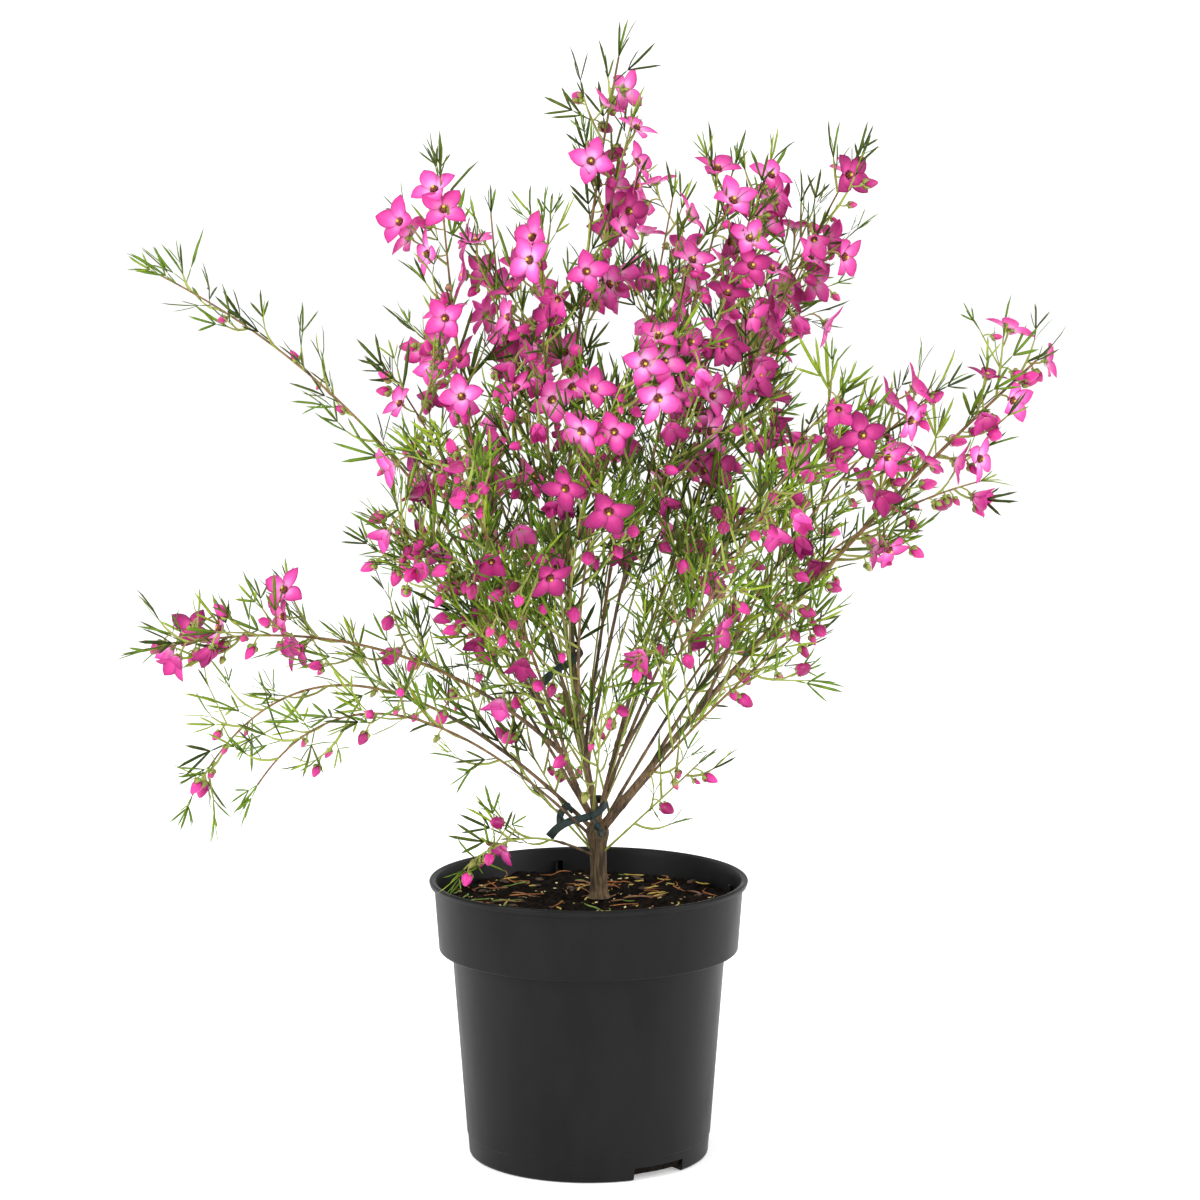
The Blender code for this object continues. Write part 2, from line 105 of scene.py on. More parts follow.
def newMaterial(name, colour, roughness, **sockets):
    material = bpy.data.materials.new(name)
    material.use_nodes = True
    tree = material.node_tree
    shader = tree.nodes["Principled BSDF"]
    shader.inputs["Base Color"].default_value = linearColour(colour)
    shader.inputs["Roughness"].default_value = roughness
    for socket, value in sockets.items():
        shader.inputs[socket.replace("_", " ")].default_value = value
    return material, tree, shader


def placeNoise(tree, size, stretch=(1, 1, 1), detail=3, roughness=0.55):  # noise whose blotches are size metres wide
    coords = addNode(tree, "ShaderNodeTexCoord")
    mapping = addNode(tree, "ShaderNodeMapping", {"Vector": coords.outputs["Object"], "Scale": stretch})
    return addNode(tree, "ShaderNodeTexNoise", {"Vector": mapping.outputs[0], "Scale": 1 / size, "Detail": detail,
                                                "Roughness": roughness})


def rampColours(tree, factor, *stops):  # each stop: its place and its colour
    ramp = addNode(tree, "ShaderNodeValToRGB", {"Fac": factor})
    elements = ramp.color_ramp.elements
    for number, (place, colour) in enumerate(stops):
        element = elements[number] if number < len(elements) else elements.new(place)
        element.position = place
        element.color = linearColour(colour)
    return ramp.outputs["Color"]


def blendColours(tree, factor, low, high, lowAt=0.35, highAt=0.65):
    return rampColours(tree, factor, (lowAt, low), (highAt, high))


def addBump(tree, shader, height, distance, strength=1.0, normal=None):
    links = {"Height": height, "Distance": distance, "Strength": strength}
    if normal is not None:
        links["Normal"] = normal
    bump = addNode(tree, "ShaderNodeBump", links)
    tree.links.new(bump.outputs["Normal"], shader.inputs["Normal"])
    return bump.outputs["Normal"]


def addPiece(name, mesh, material, slot, *nodes):
    piece = bpy.data.objects.new(name, mesh)
    bpy.context.scene.collection.objects.link(piece)
    if material is not None:
        mesh.materials.clear()
        mesh.materials.append(material)
    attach(piece, "root")
    if nodes:
        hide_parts(*nodes)
    print("made", name, len(mesh.polygons), "faces")
    return piece


def evaluatedMesh(thing):
    bpy.context.view_layer.update()
    return bpy.data.meshes.new_from_object(thing.evaluated_get(bpy.context.evaluated_depsgraph_get()))


def setInputs(modifier, values):  # a modifier's inputs go by the sockets' identifiers
    for item in modifier.node_group.interface.items_tree:
        if item.item_type == "SOCKET" and item.in_out == "INPUT" and item.name in values:
            modifier[item.identifier] = values[item.name]


def newTree(name, inputs):
    tree = bpy.data.node_groups.new(name, "GeometryNodeTree")
    tree.interface.new_socket("Geometry", in_out="INPUT", socket_type="NodeSocketGeometry")
    for socket, kind in inputs.items():
        tree.interface.new_socket(socket, in_out="INPUT", socket_type=f"NodeSocket{kind}")
    tree.interface.new_socket("Geometry", in_out="OUTPUT", socket_type="NodeSocketGeometry")
    return tree, addNode(tree, "NodeGroupInput"), addNode(tree, "NodeGroupOutput")


def grownMesh(name, mesh, tree, inputs):  # the plain mesh that a node tree makes of another mesh
    carrier = bpy.data.objects.new(f"{name}Carrier", mesh)
    bpy.context.scene.collection.objects.link(carrier)
    modifier = carrier.modifiers.new("grow", "NODES")
    modifier.node_group = tree
    setInputs(modifier, inputs)
    made = evaluatedMesh(carrier)
    made.name = name
    bpy.data.objects.remove(carrier, do_unlink=True)
    return made


# Camera, light and floor

studio = {
    "cameraPlace": (0.005, -1.492, 0.4345),
    "cameraPitch": 82.78,
    "lens": 103.74,
    "sensor": 36,
    # the paper sweep, in metres: a round floor that curves up into a low wall
    "floorRadius": 30,
    "coveRadius": 3,
    "wallHeight": 8,
    "paperGlow": 0.34,
    "worldStrength": 0.68,
    # each light: place, size in metres, power in watts
    "keyLight": ((-1.4, -1.0, 1.1), 0.9, 24),
    "fillLight": ((1.55, -0.6, 0.7), 0.9, 14),
    "topLight": ((0.1, -0.2, 1.9), 1.2, 12),
    "aim": (0, 0, 0.26),
}


def makeStudio():
    bpy.context.scene.view_settings.view_transform = "Standard"  # keeps the petals' pink as strong as it is
    camera = bpy.data.objects.new("camera", bpy.data.cameras.new("camera"))
    camera.data.lens = studio["lens"]
    camera.data.sensor_width = studio["sensor"]
    camera.location = studio["cameraPlace"]
    camera.rotation_euler = (math.radians(studio["cameraPitch"]), 0, 0)
    bpy.context.scene.collection.objects.link(camera)
    bpy.context.scene.camera = camera

    world = bpy.data.worlds.new("softWhiteRoom")
    world.use_nodes = True
    background = world.node_tree.nodes["Background"]
    background.inputs["Color"].default_value = (1, 1, 1, 1)
    background.inputs["Strength"].default_value = studio["worldStrength"]
    bpy.context.scene.world = world

    for name in ("keyLight", "fillLight", "topLight"):
        place, size, power = studio[name]
        light = bpy.data.objects.new(name, bpy.data.lights.new(name, "AREA"))
        light.data.energy = power
        light.data.size = size
        light.location = place
        light.rotation_euler = (Vector(studio["aim"]) - Vector(place)).to_track_quat("-Z", "Y").to_euler()
        bpy.context.scene.collection.objects.link(light)

    radius, cove = studio["floorRadius"], studio["coveRadius"]
    turns = [math.radians(10 * number) for number in range(10)]
    outline = [(0, 0), (2, 0)] + [(radius + cove * math.sin(turn), cove * (1 - math.cos(turn))) for turn in turns]
    outline += [(radius + cove, studio["wallHeight"])]
    shape = bmesh.new()
    corners = [shape.verts.new((away, 0, height - 0.0002)) for away, height in outline]
    edges = [shape.edges.new(pair) for pair in zip(corners, corners[1:])]
    bmesh.ops.spin(shape, geom=corners + edges, cent=(0, 0, 0), axis=(0, 0, 1), angle=2 * pi, steps=96)
    bmesh.ops.remove_doubles(shape, verts=shape.verts, dist=0.001)
    floor = bpy.data.objects.new("floor", bpy.data.meshes.new("floor"))
    shape.normal_update()
    for face in shape.faces:
        face.smooth = True
    shape.to_mesh(floor.data)
    shape.free()
    bpy.context.scene.collection.objects.link(floor)
    paper, tree, shader = newMaterial("whiteBackdropPaper", "#FFFFFF", 0.9, Specular_IOR_Level=0.1,
                                      Emission_Strength=studio["paperGlow"])
    shader.inputs["Emission Color"].default_value = (1, 1, 1, 1)
    paper.cycles.emission_sampling = "NONE"
    floor.data.materials.append(paper)
    floor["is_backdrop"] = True
    print("studio ready")


# The plant's rule: the same curves and the same draws as the source's, in the same units

Stem = namedtuple("Stem", "parent height elbow tip radius bough shoots reach flowers buds")
stemTable = {
    "leader": Stem("trunk", 149.8, (-25, -2, 280), (13, 5, 479), 2.35, 0.30, 7, 30, 0.65, 0.20),
    "left_crown": Stem("trunk", 146, (-50, -17, 245), (-62, -30, 428), 2.0, 0.32, 6, 32, 0.60, 0.25),
    "right_crown": Stem("trunk", 146, (38, 15, 297), (117, 28, 436), 1.9, 0.30, 6, 36, 0.60, 0.30),
    "right_arm": Stem("trunk", 143, (100, -3, 264), (192, -9, 350), 2.0, 0.30, 7, 34, 0.50, 0.40),
    "low_left_droop": Stem("trunk", 142, (-117, 15, 263), (-177, 29, 154), 1.6, 0.32, 5, 28, 0.35, 0.45),
    "right_shoulder": Stem("trunk", 148, (46, -20, 275), (106, -48, 338), 1.6, 0.35, 6, 38, 0.35, 0.50),
    "bright_front": Stem("trunk", 146, (-20, -69, 259), (28, -88, 372), 1.5, 0.30, 5, 34, 0.45, 0.35),
    "back_low_left": Stem("trunk", 144, (-60, 60, 245), (-88, 95, 262), 1.5, 0.32, 4, 30, 0.35, 0.40),
    "back_low_right": Stem("trunk", 142, (65, 65, 240), (112, 105, 272), 1.5, 0.32, 4, 32, 0.35, 0.40),
    "right_low": Stem("trunk", 140, (56, -37, 214), (99, -54, 246), 1.4, 0.22, 4, 28, 0.05, 0.60),
    "low_left_twig": Stem("trunk", 138, (-90, -70, 248), (-136, -88, 180), 1.2, 0.22, 4, 24, 0.0, 0.60),
    "front_twig": Stem("trunk", 131, (-30, -24, 156), (-53, -43, 135), 1.1, 0.30, 2, 12, 0.80, 0.20),
    "left_inner": Stem("leader", 167, (-30, 24, 262), (-43, 38, 412), 1.6, 0.28, 5, 32, 0.60, 0.20),
    "right_leader": Stem("leader", 172, (15, -14, 275), (61, -19, 430), 1.7, 0.42, 6, 32, 0.65, 0.20),
    "front_crown": Stem("leader", 176, (-20, -36, 280), (-19, -38, 408), 1.5, 0.26, 5, 32, 0.65, 0.20),
    "back_leader": Stem("leader", 178, (14, 60, 290), (38, 93, 418), 1.6, 0.26, 5, 36, 0.60, 0.20),
    "back_left": Stem("leader", 184, (-35, 55, 270), (-70, 105, 362), 1.5, 0.26, 5, 36, 0.50, 0.30),
    "left_mid": Stem("left_crown", 172, (-45, -35, 262), (-84, -52, 284), 1.5, 0.28, 4, 30, 0.55, 0.30),
    "low_left_arm": Stem("left_crown", 180, (-84, -28, 250), (-181, -38, 230), 1.7, 0.22, 6, 28, 0.40, 0.45),
    "left_arm": Stem("left_crown", 190, (-68, -11, 328), (-182, -19, 387), 1.5, 0.24, 6, 16, 0.0, 0.30),
    "left_shoulder": Stem("left_crown", 200, (-50, 20, 290), (-86, 33, 340), 1.3, 0.26, 4, 30, 0.45, 0.30),
    "front_left": Stem("left_crown", 164, (-30, -60, 255), (-56, -108, 322), 1.4, 0.26, 5, 32, 0.45, 0.35),
    "back_right": Stem("right_crown", 172, (48, 60, 275), (98, 110, 385), 1.6, 0.26, 5, 36, 0.50, 0.30),
    "right_mid": Stem("right_arm", 172, (83, 38, 270), (176, 58, 292), 1.5, 0.26, 5, 30, 0.15, 0.60),
    "right_upper": Stem("right_arm", 200, (85, -24, 290), (146, -34, 338), 1.4, 0.22, 4, 30, 0.50, 0.35),
    "front_right": Stem("right_shoulder", 178, (45, -65, 245), (80, -115, 312), 1.4, 0.26, 5, 32, 0.40, 0.40),
    "right_spur": Stem("right_leader", 250, (50, 10, 340), (79, 24, 434), 1.2, 0.22, 4, 26, 0.65, 0.20),
}

trunkShape = {
    "foot": Vector((4.5, 0, 113.8)) * mm,
    "bend": Vector((4.5, 0, 131)) * mm,
    "tip": Vector((3.6, 0, 149.5)) * mm,
    "radius": 3.65 * mm,
    "flare": 1.6 * mm,
    "flareHeight": 2.6 * mm,
    "forkHeight": 143 * mm,
    "forkSwelling": 1.5 * mm,
    "forkSpread": 4.5 * mm,
    "closing": 8 * mm,  # over this length the trunk narrows into its boughs
}
stemShape = {"slimness": 0.66, "tipRadius": 0.45 * mm, "turn": math.radians(137.5), "rise": 0.45,
             "knotGap": 17 * mm, "knotWidth": 1.3 * mm, "knotSwelling": 0.2, "slimmer": 0.84,
             "stout": {"right_arm": 1.2, "leader": 1.0}, "footFlare": 0.35, "flareLength": 7 * mm}
curves = {"trunk": (trunkShape["foot"], trunkShape["bend"], trunkShape["tip"])}


def pointOn(name, share):
    foot, elbow, tip = curves[name]
    return foot * (1 - share) ** 2 + elbow * 2 * share * (1 - share) + tip * share**2


def headingOn(name, share):
    foot, elbow, tip = curves[name]
    return ((elbow - foot) * (1 - share) + (tip - elbow) * share).normalized()


def shareAtHeight(name, height):
    low, high = 0, 0.6 if name != "trunk" else 1
    for _ in range(30):
        middle = (low + high) / 2
        low, high = (middle, high) if pointOn(name, middle).z < height else (low, middle)
    return low


def radiusOn(name, share):
    if name == "trunk":
        height = pointOn(name, share).z
        flare = trunkShape["flare"] * math.exp(-(height - trunkShape["foot"].z) / trunkShape["flareHeight"])
        away = (height - trunkShape["forkHeight"]) / trunkShape["forkSpread"]
        closing = min(1, max(0, (trunkShape["tip"].z - height) / trunkShape["closing"]))
        return (trunkShape["radius"] + flare + trunkShape["forkSwelling"] * math.exp(-(away**2))) * (
            0.3 + 0.7 * math.sqrt(closing * (2 - closing)))
    footRadius = stems[name].radius * mm * stemShape["slimness"]
    slim = footRadius + (stemShape["tipRadius"] - footRadius) * share**0.8
    fromKnot = (share * (curves[name][2] - curves[name][0]).length + stemShape["knotGap"] / 2) % stemShape["knotGap"]
    away = (fromKnot - stemShape["knotGap"] / 2) / stemShape["knotWidth"]
    along = share * (curves[name][2] - curves[name][0]).length
    slimmer = stemShape["stout"].get(name, stemShape["slimmer"]) + stemShape["footFlare"] * math.exp(
        -along / stemShape["flareLength"])
    return slim * slimmer * (1 + stemShape["knotSwelling"] * math.exp(-(away**2)))


def placeStem(name, stem):
    foot = pointOn(stem.parent, shareAtHeight(stem.parent, stem.height * mm))
    curves[name] = (foot, Vector(stem.elbow) * mm, Vector(stem.tip) * mm)
    stems[name] = stem


stems = {}
for stemName, stem in stemTable.items():
    placeStem(stemName, stem)


def sideAxes(heading):
    across = heading.cross(Vector((0, 0, 1)))
    across = across.normalized() if across.length > 0.05 else Vector((1, 0, 0))
    return across, across.cross(heading).normalized()


def leaning(heading, turn, lean):  # the heading tipped over by the lean, towards the side that the turn gives
    across, above = sideAxes(heading)
    side = across * math.cos(turn) + above * math.sin(turn)
    return (heading * math.cos(lean) + side * math.sin(lean)).normalized()


# Growth: every twig, leaf, flower and bud is first a row in one of these lists

growth = {
    "extraShoots": 1,
    "nodeGap": 14 * mm,
    "stemNodeGap": 18 * mm,
    "twigletLength": 21 * mm,
    "stalkLength": 8 * mm,
    "budStalk": 6.5 * mm,
    "flowerSpacing": 9 * mm,
    "potClearance": 4 * mm,
    "lightSide": Vector((0, -0.3, 0.05)),
    "leafRise": Vector((0, 0, 0.3)),
    "nodding": 0.95,
    # the wood is bare round the fork, and leafy past the leaf reach from it
    "fork": Vector((4, 0, 146)) * mm,
    "bareReach": 38 * mm,
    "leafReach": 100 * mm,
    "leafShare": 0.72,
    # flowers open first high in the crown and on its left, and buds wait below
    "bloomFloor": 278 * mm,
    "bloomRange": 105 * mm,
    "leftLead": 0.5,
    "armLead": 0.6,
    # stems whose tips are thick with blossom
    "fullTips": ("leader", "right_arm", "right_leader", "left_crown", "right_crown", "low_left_arm", "right_spur",
                 "front_crown"),
    "fullShares": (0.66, 0.72, 0.78, 0.83, 0.87, 0.91, 0.95),
    # thin stems that run up beside these main ones
    "slim": ("leader", "right_crown", "left_inner", "right_leader", "front_crown", "back_leader", "bright_front",
             "right_shoulder", "left_mid", "back_right"),
    "slimSway": 12,
    "slimRadius": 0.8,
    "slimReach": 0.92,
    # green sprigs low on the trunk and the boughs' feet
    "sprigs": 9,
    "sprigFeet": (132, 186),
    "sprigLength": (66, 104),
}
tubes = {"upperStems": [], "greenTwigs": [], "flowerStalks": []}
leafTints = ("oliveLeaves", "deepLeaves", "brightLeaves", "freshLeaves")
petalTints = ("brightPetals", "rosePetals", "deepPetals")
leafRows = {tint: [] for tint in leafTints}
petalRows = {tint: [] for tint in petalTints}
centreRows, sepalRows, budRows, calyxRows, greenBudRows = [], [], [], [], []
Row = namedtuple("Row", "place turn scale variant")
flowerPlaces = []

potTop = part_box("pot")[1].z
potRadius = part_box("pot")[1].x


def openness(place):
    left = growth["leftLead"] * min(1, max(0, -place.x / (100 * mm)))
    arm = growth["armLead"] if abs(place.x) > 115 * mm and place.z > 215 * mm else 0
    return min(1, max(0, (place.z - growth["bloomFloor"]) / growth["bloomRange"] + left + arm))


def leafiness(place):  # the share of the leaves that grow there
    clear = ((place - growth["fork"]).length - growth["bareReach"]) / (growth["leafReach"] - growth["bareReach"])
    return min(1, max(0.04, clear)) * growth["leafShare"] * (1 - 0.4 * openness(place))


def overPot(point):
    inside = math.hypot(point.x, point.y) < potRadius + growth["potClearance"]
    return inside and point.z < potTop + growth["potClearance"]


def turned(heading, roll=0.0):  # the turn that lays something made along +Z along the heading
    matrix = heading.to_track_quat("Z", "Y").to_matrix() @ Matrix.Rotation(roll, 3, "Z")
    return tuple(matrix.to_euler())


def bent(path, share):  # a point and a heading on the smooth curve through a path's three points
    first, middle, last = path
    control = middle * 2 - (first + last) / 2
    point = first * (1 - share) ** 2 + control * 2 * share * (1 - share) + last * share**2
    heading = ((control - first) * (1 - share) + (last - control) * share).normalized()
    return point, heading


def addTube(kind, path, startRadius, endRadius, steps, knobs=()):
    points = [bent(path, number / steps)[0] for number in range(steps + 1)]
    radii = [startRadius + (endRadius - startRadius) * number / steps for number in range(steps + 1)]
    for number in knobs:
        radii[number] *= 1.25
    tubes[kind].append((points, radii))


def addLeaf(root, direction, dice, tint, scale=1.0, variant=None):
    if overPot(root + direction * 14 * mm * scale):
        return
    roll = dice.uniform(0, 2 * pi)
    kind = dice.choices(range(6), (2.6, 1.6, 2.6, 2.6, 1.8, 0.7))[0] if variant is None else variant
    leafRows[tint].append(Row(root, turned(direction, roll), scale * dice.uniform(0.85, 1.2), kind))


def pickTint(dice, freshness):
    weights = (1.2 - freshness, 1.0 - 0.8 * freshness, 0.5 + 0.7 * freshness, 0.08 + 0.75 * freshness**2)
    return dice.choices(leafTints, weights)[0]


def outwardFacing(root, heading, turn, nod):
    outward = Vector((root.x, root.y, 0)).normalized()
    nod -= growth["nodding"] * (1 - openness(root))
    return (leaning(heading, turn, 1.1) + outward * 0.9 + growth["lightSide"] + Vector((0, 0, nod))).normalized()


def addStalk(root, facing, length, tipRadius):
    arch = Vector((0, 0, 0.2 if facing.z < 0 else -0.1)) * length
    tip = root + facing * length
    addTube("flowerStalks", (root - facing * 0.4 * mm, root.lerp(tip, 0.5) + arch, tip), 0.3 * mm, tipRadius, 3)
    return tip


def addFlower(root, facing, roll, dice):
    place = root + facing * growth["stalkLength"]
    if overPot(place) or any((place - other).length < growth["flowerSpacing"] for other in flowerPlaces):
        return False
    flowerPlaces.append(place)
    lift = openness(place)
    weights = [low + (high - low) * lift for low, high in ((0.1, 4), (0.5, 4), (2.2, 2.6), (3.2, 1.3), (3, 0.9))]
    variant = dice.choices(range(5), weights)[0]
    if variant > 2:
        facing = (facing + Vector((0, 0, -0.9))).normalized()
        place = root + facing * growth["stalkLength"]
    # the tint is drawn at random, but the bright pink goes mostly to flowers high in the crown, on its left and on the
    # arms, and the deep pink to low ones: a painted light and a painted shade by where each flower sits
    tint = dice.choices(petalTints, (1 + 3 * lift, 3, 3.2 - 2 * lift))[0]
    scale = dice.uniform(0.88, 1.06)
    addStalk(root, facing, growth["stalkLength"], 0.55 * mm)
    turn = turned(facing, roll)
    petalRows[tint].append(Row(place, turn, scale, variant))
    sepalRows.append(Row(place, turn, scale, 0))
    if variant < 4:
        centreRows.append(Row(place, turn, scale, variant))
    return True


def addBud(root, facing, dice, ripeness=1.0):
    place = root + facing * growth["budStalk"] * (0.6 + 0.4 * ripeness)
    if overPot(place) or any((place - other).length < 5 * mm for other in flowerPlaces):
        return
    flowerPlaces.append(place)
    addStalk(root, facing, (place - root).length, 0.42 * mm)
    turn = turned(facing, dice.uniform(0, 2 * pi))
    rows = budRows if ripeness > 0.45 else greenBudRows
    scale = (0.36 + 0.56 * ripeness) * dice.uniform(0.92, 1.08)
    rows.append(Row(place, turn, scale, dice.randrange(3)))
    calyxRows.append(Row(place, turn, 0.2 + 0.85 * scale, 0))


def growBloom(root, heading, dice, flowers, buds):  # the source's draws for a flower or a bud, or neither
    lot = dice.random()
    facing = outwardFacing(root, heading, dice.uniform(0, 2 * pi), dice.uniform(-0.5, 0.6))
    roll = dice.uniform(0, 2 * pi)
    if lot < flowers and dice.random() < 0.2 + 1.2 * openness(root):
        addFlower(root, facing, roll, dice)
    elif lot < flowers + buds:
        addBud(root, facing, dice, 1.0 if flowers else 0.5)


def growCluster(root, heading, turn, dice, stem):  # the flowers and buds in one leaf's axil
    lift = openness(root)
    flowers, buds = stem.flowers * (0.12 + 1.1 * lift), stem.buds * (1.2 - 0.5 * lift)
    for _ in range(dice.choices((1, 2, 3), (5, 4, 1))[0]):
        facing = outwardFacing(root, heading, turn + dice.uniform(-0.9, 0.9), dice.uniform(-0.7, 0.5))
        lot = dice.random() * (flowers + buds)
        if lot < flowers and addFlower(root, facing, dice.uniform(0, 2 * pi), dice):
            continue
        ripe = dice.random() < (0.35 + 0.4 * lift if stem.flowers else 0.15)
        ripeness = dice.uniform(0.6, 1.0) if ripe else dice.uniform(0.1, 0.42)
        addBud(root, (facing + Vector((0, 0, -0.6))).normalized(), dice, ripeness)


def growTuft(root, heading, dice, freshness, count=3):  # the young upright leaves at a twig's tip
    for number in range(count):
        direction = leaning(heading, number * 2 * pi / count + dice.uniform(-0.4, 0.4), dice.uniform(0.1, 0.42))
        tint = pickTint(dice, min(1, freshness + 0.25))
        addLeaf(root, direction, dice, tint, dice.uniform(0.55, 0.85), dice.choice((0, 0, 1, 3)))


def growTwiglet(root, heading, turn, dice, stem, freshness):
    direction = leaning(heading, turn, dice.uniform(0.6, 0.9))
    length = growth["twigletLength"] * dice.uniform(0.6, 1.1)
    tip = root + (direction + Vector((0, 0, 0.2))).normalized() * length
    if overPot(tip):
        return
    path = (root, root.lerp(tip, 0.5) + direction * 0.6 * mm, tip)
    addTube("greenTwigs", path, 0.42 * mm, 0.26 * mm, 3)
    point, ahead = bent(path, 0.55)
    growLeafPair(point, ahead, dice.uniform(0, pi), dice, freshness, 0.8)
    if dice.random() < (stem.flowers + stem.buds) * (0.3 + 0.5 * openness(root)):
        growCluster(*bent(path, 0.8), turn, dice, stem)
    growTuft(tip, ahead, dice, freshness, 2)


def growLeafPair(root, heading, turn, dice, freshness, scale=1.0):
    for side in (0, pi):
        if dice.random() < leafiness(root):
            direction = leaning(heading, turn + side + dice.uniform(-0.25, 0.25), dice.uniform(0.55, 0.95))
            addLeaf(root, (direction + growth["leafRise"]).normalized(), dice, pickTint(dice, freshness), scale)


def growShoot(name, stem, number, shorter=1.0):  # a side shoot that leaves the stem at a slant and turns up
    dice = random.Random(f"{name} shoot {number}")
    ripeness = (number + 0.6) / (stem.shoots + 0.6)
    share = stem.bough + (1 - stem.bough) * ripeness
    turn = number * stemShape["turn"] + dice.uniform(-0.5, 0.5)
    length = stem.reach * mm * (1.15 - 0.5 * ripeness) * dice.uniform(0.8, 1.2) * shorter
    lean = dice.uniform(0.65, 0.95)
    root = pointOn(name, share)
    first = leaning(headingOn(name, share), turn, lean)
    second = (first + Vector((0, 0, stemShape["rise"]))).normalized()
    middle = root + first * length * 0.5
    tip = middle + second * length * 0.5
    if overPot(tip):
        return None
    return root, middle, tip


def dressShoot(path, name, stem, number, freshness, bloomFrom=0.35):
    fine = random.Random(f"{name} fine {number}")
    length = (path[2] - path[0]).length
    nodes = max(2, round(length / growth["nodeGap"]))
    addTube("greenTwigs", path, 0.62 * mm, 0.36 * mm, nodes * 2, range(2, nodes * 2, 2))
    for place in range(1, nodes):
        share = place / nodes
        root, heading = bent(path, share)
        turn = place * pi / 2 + number
        growLeafPair(root, heading, turn, fine, freshness, 1.0 - 0.2 * share)
        if share < 0.75 and fine.random() < 0.36 * leafiness(root):
            growTwiglet(root, heading, turn + fine.choice((0, pi)), fine, stem, freshness)
        if share > bloomFrom and fine.random() < (stem.flowers + stem.buds) * (0.5 + 0.8 * openness(root)):
            growCluster(root, heading, turn + fine.choice((0, pi)), fine, stem)
    tip, heading = bent(path, 1)
    growTuft(tip, heading, fine, freshness)


def growStem(name, stem, start):
    outer = math.hypot(stem.tip[0], stem.tip[1]) / 200
    freshness = min(1, 0.05 + 0.45 * outer + 0.45 * (1 - openness(pointOn(name, 0.8))))
    steps = 44
    shares = [start + (1 - start) * number / steps for number in range(steps + 1)]
    kind = "greenTwigs" if stem.radius < 1.16 else "upperStems"
    tubes[kind].append(([pointOn(name, s) for s in shares], [radiusOn(name, s) for s in shares]))
    for number in range(stem.shoots):
        path = growShoot(name, stem, number)
        dice = random.Random(f"{name} blossom {number}")
        if path is not None:
            root, heading = bent(path, 0.85)
            growBloom(root, heading, dice, stem.flowers, stem.buds)
            dressShoot(path, name, stem, number, freshness)
        if number > 0:
            share = stem.bough + (1 - stem.bough) * (number + 0.1) / (stem.shoots + 0.6)
            growBloom(pointOn(name, share), headingOn(name, share), dice, stem.flowers * 0.5, stem.buds * 0.4)
    for number in range(stem.shoots + 1):
        for extra in range(1, growth["extraShoots"] + 1):
            finer = round(number - extra / (growth["extraShoots"] + 1), 2)
            path = growShoot(name, stem, finer, 0.8)
            if path is not None:
                dressShoot(path, name, stem, finer, freshness)
    dice = random.Random(f"{name} top")
    growBloom(pointOn(name, 0.94), headingOn(name, 0.94), dice, stem.flowers, stem.buds)
    growTuft(pointOn(name, 1), headingOn(name, 1), dice, freshness, 4)
    full = name in growth["fullTips"]
    for number, share in enumerate(growth["fullShares"] if full else (0.8, 0.86, 0.92)):
        chance = 1 if full else (stem.flowers + stem.buds) * (0.5 + 0.9 * openness(pointOn(name, share)))
        if dice.random() < chance:
            growCluster(pointOn(name, share), headingOn(name, share), number * stemShape["turn"], dice, stem)
    length = sum((pointOn(name, s) - pointOn(name, s - 0.1)).length for s in np.linspace(0.1, 1, 10))
    nodes = round(length * (1 - stem.bough * 0.5) / growth["stemNodeGap"])
    for place in range(nodes):
        share = stem.bough * 0.5 + (1 - stem.bough * 0.5) * (place + 0.5) / nodes
        growLeafPair(pointOn(name, share), headingOn(name, share), place * pi / 2, dice, freshness)


def growSlimStem(name, stem):
    dice = random.Random(f"{name} slim")
    sway = [dice.uniform(-1, 1) * growth["slimSway"] for _ in range(5)]
    elbow = (stem.elbow[0] + sway[0], stem.elbow[1] + sway[1], stem.elbow[2] + sway[2])
    foot = pointOn(stem.parent, shareAtHeight(stem.parent, stem.height * mm)) / mm
    tip = [foot[axis] + (stem.tip[axis] - foot[axis]) * growth["slimReach"] for axis in range(3)]
    tip = (tip[0] + sway[3], tip[1] + sway[4], tip[2])
    slim = stem._replace(elbow=elbow, tip=tip, radius=growth["slimRadius"], bough=0.36, reach=stem.reach * 0.85)
    placeStem(f"{name} slim", slim)
    growStem(f"{name} slim", slim, 0.0)


def growSprigs():  # thin green sprigs with long leaves round the plant's foot
    for number in range(growth["sprigs"]):
        dice = random.Random(f"sprig {number}")
        turn = number * stemShape["turn"] + 2.4
        low, high = growth["sprigFeet"]
        height = low + (high - low) * (number % 4) / 3
        parent = "trunk" if height < 150 else ("leader", "left_crown", "right_arm")[number % 3]
        length = dice.uniform(*growth["sprigLength"])
        foot = pointOn(parent, shareAtHeight(parent, height * mm)) / mm
        out = Vector((math.cos(turn), math.sin(turn), 0))
        elbow = foot + out * length * 0.45 + Vector((0, 0, length * 0.4))
        tip = foot + out * length * 0.75 + Vector((0, 0, length * dice.uniform(0.55, 0.85)))
        sprig = Stem(parent, height, tuple(elbow), tuple(tip), 0.95, 0.3, 2, 20, 0.05, 0.75)
        placeStem(f"sprig {number}", sprig)
        growStem(f"sprig {number}", sprig, 0.0)


for stemName, stem in stemTable.items():
    growStem(stemName, stem, stem.bough)
for stemName in growth["slim"]:
    growSlimStem(stemName, stemTable[stemName])
growSprigs()
print("grown:", sum(map(len, leafRows.values())), "leaves,", sum(map(len, petalRows.values())), "flowers,",
      len(budRows), "buds,", len(greenBudRows), "young buds,", {kind: len(rows) for kind, rows in tubes.items()})


# Bark and stems: tubes along the grown paths, with fissures that run along the wood

